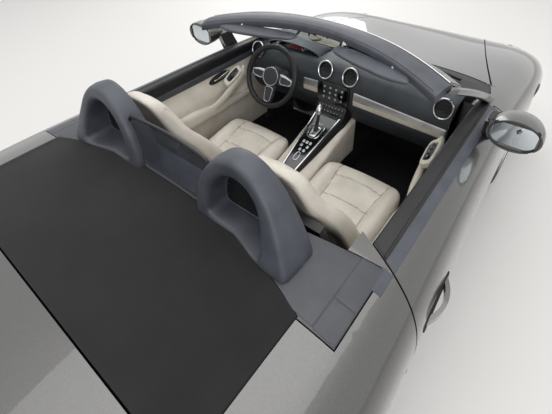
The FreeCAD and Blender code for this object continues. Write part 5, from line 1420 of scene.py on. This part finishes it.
lever_line = smooth_line([(150, 676, 768), (190, 664, 776), (240, 662, 784), (282, 672, 792)], 20)
door_sets = {
    "lining": (CREAM, "cream_leather", [make_card(), make_armrest(), make_pull(),
               pad_part(block_loop, switch_at, SWITCH_U, SWITCH_W, -24, 6, 6)], 50),
    "rail": (BLACK_LEATHER, "black_plastic", [make_rail(683, 733, 3.0, 842.0)], 40),
    "rail_strip": (SLATE, "dark_grey_plastic", [make_under_strip()], 40),
    "rail_seal": (RUBBER, "black_plastic", [make_strip(735, 743, 4.5)], 40),
    "top_strip": (SLATE, "dark_grey_plastic", [make_strip(746, 782, 1.5)], 40),
    "switches": (GLOSS_BLACK, "black_plastic",
                 [pad_part(inset(block_loop, 11) * (0.8, 1), switch_at, SWITCH_U, SWITCH_W, 4, 8, 1)]
                 + [pad_part(key_outline(10, 7, 4, 2) + (k, 0), switch_at, SWITCH_U, SWITCH_W, 7, 12, 2)
                    for k in (-38, -12, 14, 38)], 40),
    "lever": (BRIGHT_TRIM, "steel",
              [tube_part(lever_line, np.interp(np.arange(20), [0, 10, 19], [5, 9, 6]), 14, flat=0.6,
                         up=(0, 1, 0))], 50),
    "lever_pocket": (BLACK_PLASTIC, "black_plastic",
                     [pad_part(circle(84, 40, 0.28), np.array([200.0, 675.5, 778.0]),
                     np.array([0.993, 0, 0.12]), np.array([-0.11, 0.38, 0.92]), -3, 3, 1)], 40),
}
for side, turn_over in (("left", list), ("right", mirrored)):
    for part, (material, use, forms, sharp) in door_sets.items():
        piece = put_mesh(part + "_" + side, turn_over(forms), material, body="door_" + side, slot=use,
                         sharp=sharp)
        if part == "lining":
            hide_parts("door_card_" + side)

# The top strip goes on behind the door as far as the flap.
rear_strip = make_strip(746, 782, 1.5, back=-556.0, front=-475.0)
put_mesh("quarter_strips", [rear_strip] + mirrored([rear_strip]), SLATE)

# Door mirrors: a tinted pane in the housing's mouth, a dark bezel round it and a black foot.
MIRROR_PANE = material_from("mirror_pane", METAL, shades((196, 203, 208), (214, 220, 224), (0.01, 0.03)),
                            bump=0.0, Metallic=1.0)
PANE_U = np.array([0, -1.0, 0])
PANE_W = np.array([0, 0, 1.0])
pane_loop = full_oval(56, 0.8) * (84, 55)
for side, sign in (("left", 1), ("right", -1)):
    at = np.array([296.0, 897.0 * sign, 972.0])
    put_mesh("mirror_pane_" + side, [pad_part(pane_loop, at, PANE_U, PANE_W, -2, 5, 1.5)], MIRROR_PANE,
             body="door_" + side)
    bezel = [tube_part(placed(pane_loop * 1.05, at, PANE_U, PANE_W, 6), 4.5, 10, True, up=(1, 0, 0))]
    put_mesh("mirror_bezel_" + side, bezel, BLACK_PLASTIC, body="door_" + side)
    foot = []
    for z, share in ((846, 0.0), (880, 0.3), (920, 0.62), (952, 0.86), (972, 1.0)):
        oval = full_oval(32, 0.7) * (60 - 18 * share, 22 + 4 * share)
        foot.append(np.column_stack([447 - 50 * share + oval[:, 0],
                                     sign * (796.5 + 12 * share + oval[:, 1]),
                                     np.full(32, z)]))
    put_mesh("mirror_foot_" + side, [loft_part(np.array(foot))], BLACK_PLASTIC, body="door_" + side,
             sharp=50)

# Door handles: a dark ring round each painted pull, standing out of the door's skin; it is painted shade,
# standing for the shadow in the handle's recess.
shade_ring_x = np.concatenate([np.linspace(-472, -243, 40), np.linspace(-243, -472, 40)])
shade_ring_z = np.concatenate([np.full(40, 701.0), np.full(40, 737.0)])
shade_ring_z = shade_ring_z + 7 * np.sign(719 - shade_ring_z) * (np.abs(shade_ring_x + 357.5) / 114.5) ** 6
shade_ring = tube_part(np.column_stack([shade_ring_x, side_y(shade_ring_x, shade_ring_z) + 0.8, shade_ring_z]), 2.6, 8, True,
                   up=(0, 1, 0))
# The dark rings are painted shade round the handles.
put_mesh("handle_gasket_left", [shade_ring], RUBBER, body="door_left", slot="black_plastic")
put_mesh("handle_gasket_right", mirrored([shade_ring]), RUBBER, body="door_right", slot="black_plastic")

# Windshield frame: the header's soft-touch dark grey trim with rounded edges, gloss black pillar
# covers, and the black printed border of the glass with a thin bright seal between it and the trim.
HEADER_FRONT = [(204, 648, 1156), (288, 472, 1194), (346, 240, 1213), (362, 0, 1218)]
HEADER_BACK = [(98, 628), (182, 455), (248, 228), (276, 0)]
GLASS_FOOT = [(648, 696, 868), (790, 590, 864), (880, 300, 856), (905, 0, 850)]


def whole_width(half):
    """Control points from the right end over the middle to the left end."""
    half = np.array(half, float)
    return np.concatenate([half[:3] * (1, -1, 1), half[::-1]])


def curved(rows, u, v):
    """Surface through rows of control points, of degree 2 from row to row and 3 across the car."""
    rows = np.array(rows, float)
    return np.einsum("iu,jv,uvk->ijk", spline_weights(u, 3, 2), spline_weights(v, 7, 3), rows)


header_rows = []
for share, lift in ((0.0, 0.0), (0.5, 14.0), (1.0, -8.0)):
    front, rear = np.array(HEADER_FRONT, float), np.array(HEADER_BACK, float)
    half = front.copy()
    half[:, :2] += share * (rear - front[:, :2])
    half[:, 2] += lift
    header_rows.append(whole_width(half))


def make_header():
    """Closed sections across the header: its top curve and the same 36 mm lower, corners rounded."""
    v = np.linspace(0, 1, 121)
    top = curved(header_rows, np.linspace(0, 1, 22), v).transpose(1, 0, 2)
    low = top[:, ::-1] - (0, 0, 36)
    wall = np.linspace(0, 1, 8)[1:-1, None]
    rear = [(top[:, -1] * (1 - w) + low[:, 0] * w)[:, None] for w in wall]
    front = [(low[:, -1] * (1 - w) + top[:, 0] * w)[:, None] for w in wall]
    loop = np.concatenate([top] + rear + [low] + front, 1)
    soft = ((-2, 0.15), (-1, 0.22), (0, 0.26), (1, 0.22), (2, 0.15))
    return loft_part(sum(np.roll(loop, places, 1) * weight for places, weight in soft))


def make_pillar():
    """Rounded rectangles from the body up to the header's end, bowed 6 mm forward."""
    share = np.linspace(0, 1, 24)[:, None, None]
    oval = full_oval(36, 0.6)
    foot, top = np.array([735.0, 728, 850]), np.array([186.0, 660, 1142])
    middle = foot + (top - foot) * share + np.array([6.0, 0, 10]) * np.sin(share * math.pi)
    half = np.array([46.0, 22]) + (np.array([30.0, 20]) - (46, 22)) * share
    flat = np.concatenate([oval[None] * half, np.zeros((24, 36, 1))], 2)
    return loft_part(middle + flat)


header = put_mesh("header_trim", [make_header()], SLATE, sharp=60)
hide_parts("windshield_frame")
pillar = make_pillar()
put_mesh("pillar_covers", [pillar] + mirrored([pillar]), GLOSS_BLACK, sharp=60)

foot_row = whole_width(GLASS_FOOT)
top_row = whole_width(HEADER_FRONT) + (3, 0, -4)
glass_rows = [foot_row, (foot_row + top_row) / 2 + (0, 0, 30), top_row]


def glass_band(u0, u1, v0, v1, lift=0.8):
    """Part of the glass's outer face, lifted along its normal's height."""
    grid = curved(glass_rows, np.linspace(u0, u1, 24), np.linspace(v0, v1, 60))
    return sheet_part(grid + (0.4 * lift, 0, 0.9 * lift))


border = [glass_band(0.0, 0.10, 0.012, 0.988), glass_band(0.955, 1.0, 0.012, 0.988),
          glass_band(0.1, 0.955, 0.012, 0.04),
          glass_band(0.1, 0.955, 0.96, 0.988)]
put_mesh("glass_border", border, GLOSS_BLACK, facing=(0.4, 0, 1))
seal_path = curved(header_rows, np.array([0.02]), np.linspace(0.004, 0.996, 90))[0] + (0, 0, 2)
put_mesh("header_seal", [tube_part(seal_path, 2.6, 8)], BRIGHT_TRIM)
rear_edge = curved(header_rows, np.array([0.9]), np.linspace(0.01, 0.99, 90))[0] + (0, 0, 0.5)
put_mesh("header_lip", [tube_part(rear_edge, 1.6, 8, flat=0.5)], BLACK_PLASTIC)

# Sun visors and inside mirror: flat padded plates that hang from an arm behind the header, each with
# a clip at its inner end, and a slim mirror on a stem with a bare back.
VISOR = [(270, 112), (225, 345), (162, 500), (120, 515), (112, 430), (160, 240), (212, 108)]


def make_visor_plate():
    """Rounded plate whose rear edge hangs a little lower than its front edge; 17 mm thick with soft edges."""
    loop = rounded_loop(VISOR, 12, 5)
    middle = loop.mean(0)
    level = 1152 + 0.08 * (loop[:, 0] + 0.34 * loop[:, 1] - 290)
    rings = []
    upper = [(0.55, 8.5), (0.9, 8), (0.97, 6), (1.0, 2)]
    for grow, height in upper + [(grow, -height) for grow, height in upper[::-1]]:
        plane = middle + (loop - middle) * grow
        rings.append(np.concatenate([plane, (level + height)[:, None]], 1))
    return loft_part(np.array(rings))


visor = make_visor_plate()
visors = put_mesh("sun_visors", [visor] + mirrored([visor]), SLATE, sharp=60)
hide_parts("header_fittings")
arms = [tube_part(smooth_line([(172, 480, 1152), (200, 486, 1158), (220, 478, 1170)], 10), 6, 12),
        tube_part(smooth_line([(266, 122, 1154), (282, 120, 1160), (296, 114, 1176)], 10), 5, 12)]
put_mesh("visor_arms", arms + mirrored(arms), BLACK_PLASTIC)
latch_loop = rounded_loop([(-11, -8), (11, -8), (11, 8), (-11, 8)], 5, 2)
latches = [pad_part(latch_loop, np.array(at, float), (0, 1, 0), (-0.94, 0, 0.34), -12, 8, 2) for at in
           ((266, 244, 1178), (262, -151, 1180), (196, 420, 1168), (196, -420, 1168))]
put_mesh("header_latches", latches, BRIGHT_TRIM)
inner_mirror = rounded_loop([(-118, -29), (118, -29), (112, 30), (-112, 30)], 12, 6)
mirror_at = np.array([356.0, 0.0, 1117.0])
MIRROR_W = np.array([-0.1, 0, 0.995])
put_mesh("inside_mirror", [pad_part(inner_mirror, mirror_at, (0, 1, 0), -MIRROR_W, -14, 2, 6),
         tube_part(smooth_line([(352, 0, 1138), (338, 0, 1160), (322, 0, 1186)], 12), 9, 14, up=(0, 1, 0))],
         BLACK_PLASTIC, sharp=50)
put_mesh("inside_mirror_pane",
         [pad_part(inset(inner_mirror, 6), mirror_at, (0, -1, 0), MIRROR_W, -1, 3.5, 1)], MIRROR_PANE)

# Tyres: a skin over the plain ring with round shoulders, a bulging side wall with a bead line, four
# grooves round the tread and slanting cuts across its shoulders.
def make_tyre_skin(wheel_x, wheel_y, radius, width):
    """Rings round the axle: each a section of half width by radius, its tread lowered along the grooves
    and, on the shoulders, along 64 cuts that slant with the distance from the middle."""
    half = width / 2
    wall = [(half - 11, 242), (half + 0.5, 263), (half + 1.5, 268), (half - 0.5, 272), (half + 2.5, 285)]
    shoulder = ((3, 48), (1, 34), (-4, 20), (-14, 7.5), (-24, 1.6))
    wall += [(half + out, radius - down) for out, down in shoulder]
    tread = np.linspace(half - 32, 32 - half, 41)
    crown = [(y, radius + 1.0 - 3.2 * (y / half) ** 4) for y in tread[::-1]]
    rows = [(-y, r) for y, r in wall] + crown + wall[::-1]
    rows = np.array(rows + rows[:1])
    groove = sum(np.exp(-((rows[:, 0] - at) / 4.2) ** 6)
                 for at in np.array([-0.5, -0.17, 0.17, 0.5]) * half)
    turn = np.arange(384) / 384 * 2 * math.pi
    phase = (turn[None] * 64 + rows[:, :1] * 0.05) % (2 * math.pi)
    cuts = np.exp(-((phase - math.pi) / 0.75) ** 6)
    cuts = cuts * smooth_step(np.abs(rows[:, :1]), half * 0.58, half * 0.66)
    cuts = cuts * smooth_step(rows[:, 1:2], radius - 30, radius - 14)
    away = rows[:, 1:2] - 5.5 * groove[:, None] - 3.2 * cuts
    skin = np.stack([wheel_x + away * np.sin(turn), wheel_y + rows[:, :1] + 0 * away,
                     radius + away * np.cos(turn)], -1)
    return sheet_part(np.concatenate([skin, skin[:, :1]], 1))


# Wheels: a polished lip round the rim, a flat cap without a mark and five round-headed bolts.
AXLES = [
    # name, axle's x, wheel's middle y, tyre's radius and width
    ("front", 1262.0, 757.0, 335.0, 235.0),
    ("rear", -1213.0, 764.0, 347.0, 255.0),
]
# Sections of the lip, cap and bolts: radius, depth below the tyre's outer face
LIP_STEPS = ((226, 24), (229, 5), (233, 1.5), (240, 1), (243, 4), (243, 16), (226, 24))
CAP_STEPS = ((36, 24), (36, 17), (34, 14.5), (27, 13), (26, 14.5), (3, 14))
BOLT_STEPS = ((9, 30), (9, 14), (7.5, 11.5), (5, 11.5), (4.6, 17))
BOLT_CIRCLE_R = 52.0
wheel_u, wheel_w = np.array([-1.0, 0, 0]), np.array([0, 0, 1.0])
for wheel_name, wheel_x, wheel_y, radius, width in AXLES:
    at = np.array([wheel_x, wheel_y, radius])
    half = width / 2
    lip = [placed(circle(r, 120), at, wheel_u, wheel_w, half - deep) for r, deep in LIP_STEPS]
    cap_face = [placed(circle(r, 60), at, wheel_u, wheel_w, half - deep) for r, deep in CAP_STEPS]
    bolts = []
    for number in range(5):
        angle = math.radians(72 * number + 36)
        spot = at + (BOLT_CIRCLE_R * math.sin(angle), 0, BOLT_CIRCLE_R * math.cos(angle))
        bolt = [placed(circle(r, 18), spot, wheel_u, wheel_w, half - deep) for r, deep in BOLT_STEPS]
        bolts.append(loft_part(bolt))
    parts = {"tyre_skin_": ([make_tyre_skin(wheel_x, wheel_y, radius, width)], RUBBER, "tyre"),
             "rim_lip_": ([loft_part(lip, caps=(False, False))], BRIGHT_TRIM, "wheel_alloy"),
             "wheel_cap_": ([loft_part(cap_face)], ALLOY, "wheel_alloy"),
             "wheel_bolts_": (bolts, STEEL, "steel")}
    for part_name, (shapes, material, slot_name) in parts.items():
        for side_name, turn_over in (("left", list), ("right", mirrored)):
            corner = wheel_name + "_" + side_name
            made = put_mesh(part_name + corner, turn_over(shapes), material, body="wheel_" + corner,
                            slot=slot_name, sharp=32)
            if part_name == "tyre_skin_":
                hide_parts("tyre_" + corner)

# Headlamps: two round lenses in bright rims under each outer lens.
EYE_STEPS = ((0.94, -8), (0.94, 0), (0.8, 5), (0.5, 9), (0.05, 11))
for side_name, turn_over in (("left", list), ("right", mirrored)):
    rims, eyes = [], []
    for lamp_x, lamp_y, lamp_r in ((1925.0, 600.0, 42.0), (1850.0, 655.0, 34.0)):
        spot = np.array([lamp_x, lamp_y, top_z(np.array([lamp_x]), np.array([lamp_y]))[0] - 20])
        front_u, front_w = np.array([0, 1.0, 0]), np.array([-0.6, 0, 0.8])
        rims.append(tube_part(placed(circle(lamp_r, 40), spot, front_u, front_w, 2), 3.0, 8, True,
                              up=(0.8, 0, 0.6)))
        eyes.append(loft_part([placed(circle(lamp_r * scale, 40), spot, front_u, front_w, height)
                               for scale, height in EYE_STEPS]))
    put_mesh("lamp_rims_" + side_name, turn_over(rims), BRIGHT_TRIM)
    put_mesh("lamp_eyes_" + side_name, turn_over(eyes), LAMP_GLASS)

# Tail: a blank white plate in its recess, and rolled rims round the two exhaust mouths.
ACROSS, UP = np.array([0, -1.0, 0]), np.array([0, 0, 1.0])
PLATE_WHITE = material_from("plate_white", MOTTLE, shades((214, 213, 209), (232, 231, 228), (0.35, 0.45)),
                            bump=0.05)
plate_loop = rounded_loop([(-254, -54), (-254, 54), (254, 54), (254, -54)], 14, 3)
put_mesh("blank_plate", [pad_part(plate_loop, np.array([-2167.0, 0, 495.0]), ACROSS, UP, 1, 5, 1)],
         PLATE_WHITE)
mouths = []
for mouth_y in (-56.0, 56.0):
    ring_at = np.array([-2119.0, mouth_y, 250.0])
    mouths.append(tube_part(placed(circle(46.5, 60), ring_at, ACROSS, UP), 3.4, 10, True, up=(1, 0, 0)))
put_mesh("exhaust_mouths", mouths, EXHAUST)

# Tail lamps: three thin ribs along each red lens's outer face.
ribs = []
for rib_z in (718.0, 742.0, 766.0):
    rib_x = np.linspace(-1935, -2070, 40)
    rib_line = np.column_stack([rib_x, side_y(rib_x, 0 * rib_x + rib_z) + 0.6, 0 * rib_x + rib_z])
    ribs.append(tube_part(rib_line, 2.2, 8))
put_mesh("tail_lamp_ribs_left", ribs, RED_LENS)
put_mesh("tail_lamp_ribs_right", mirrored(ribs), RED_LENS)
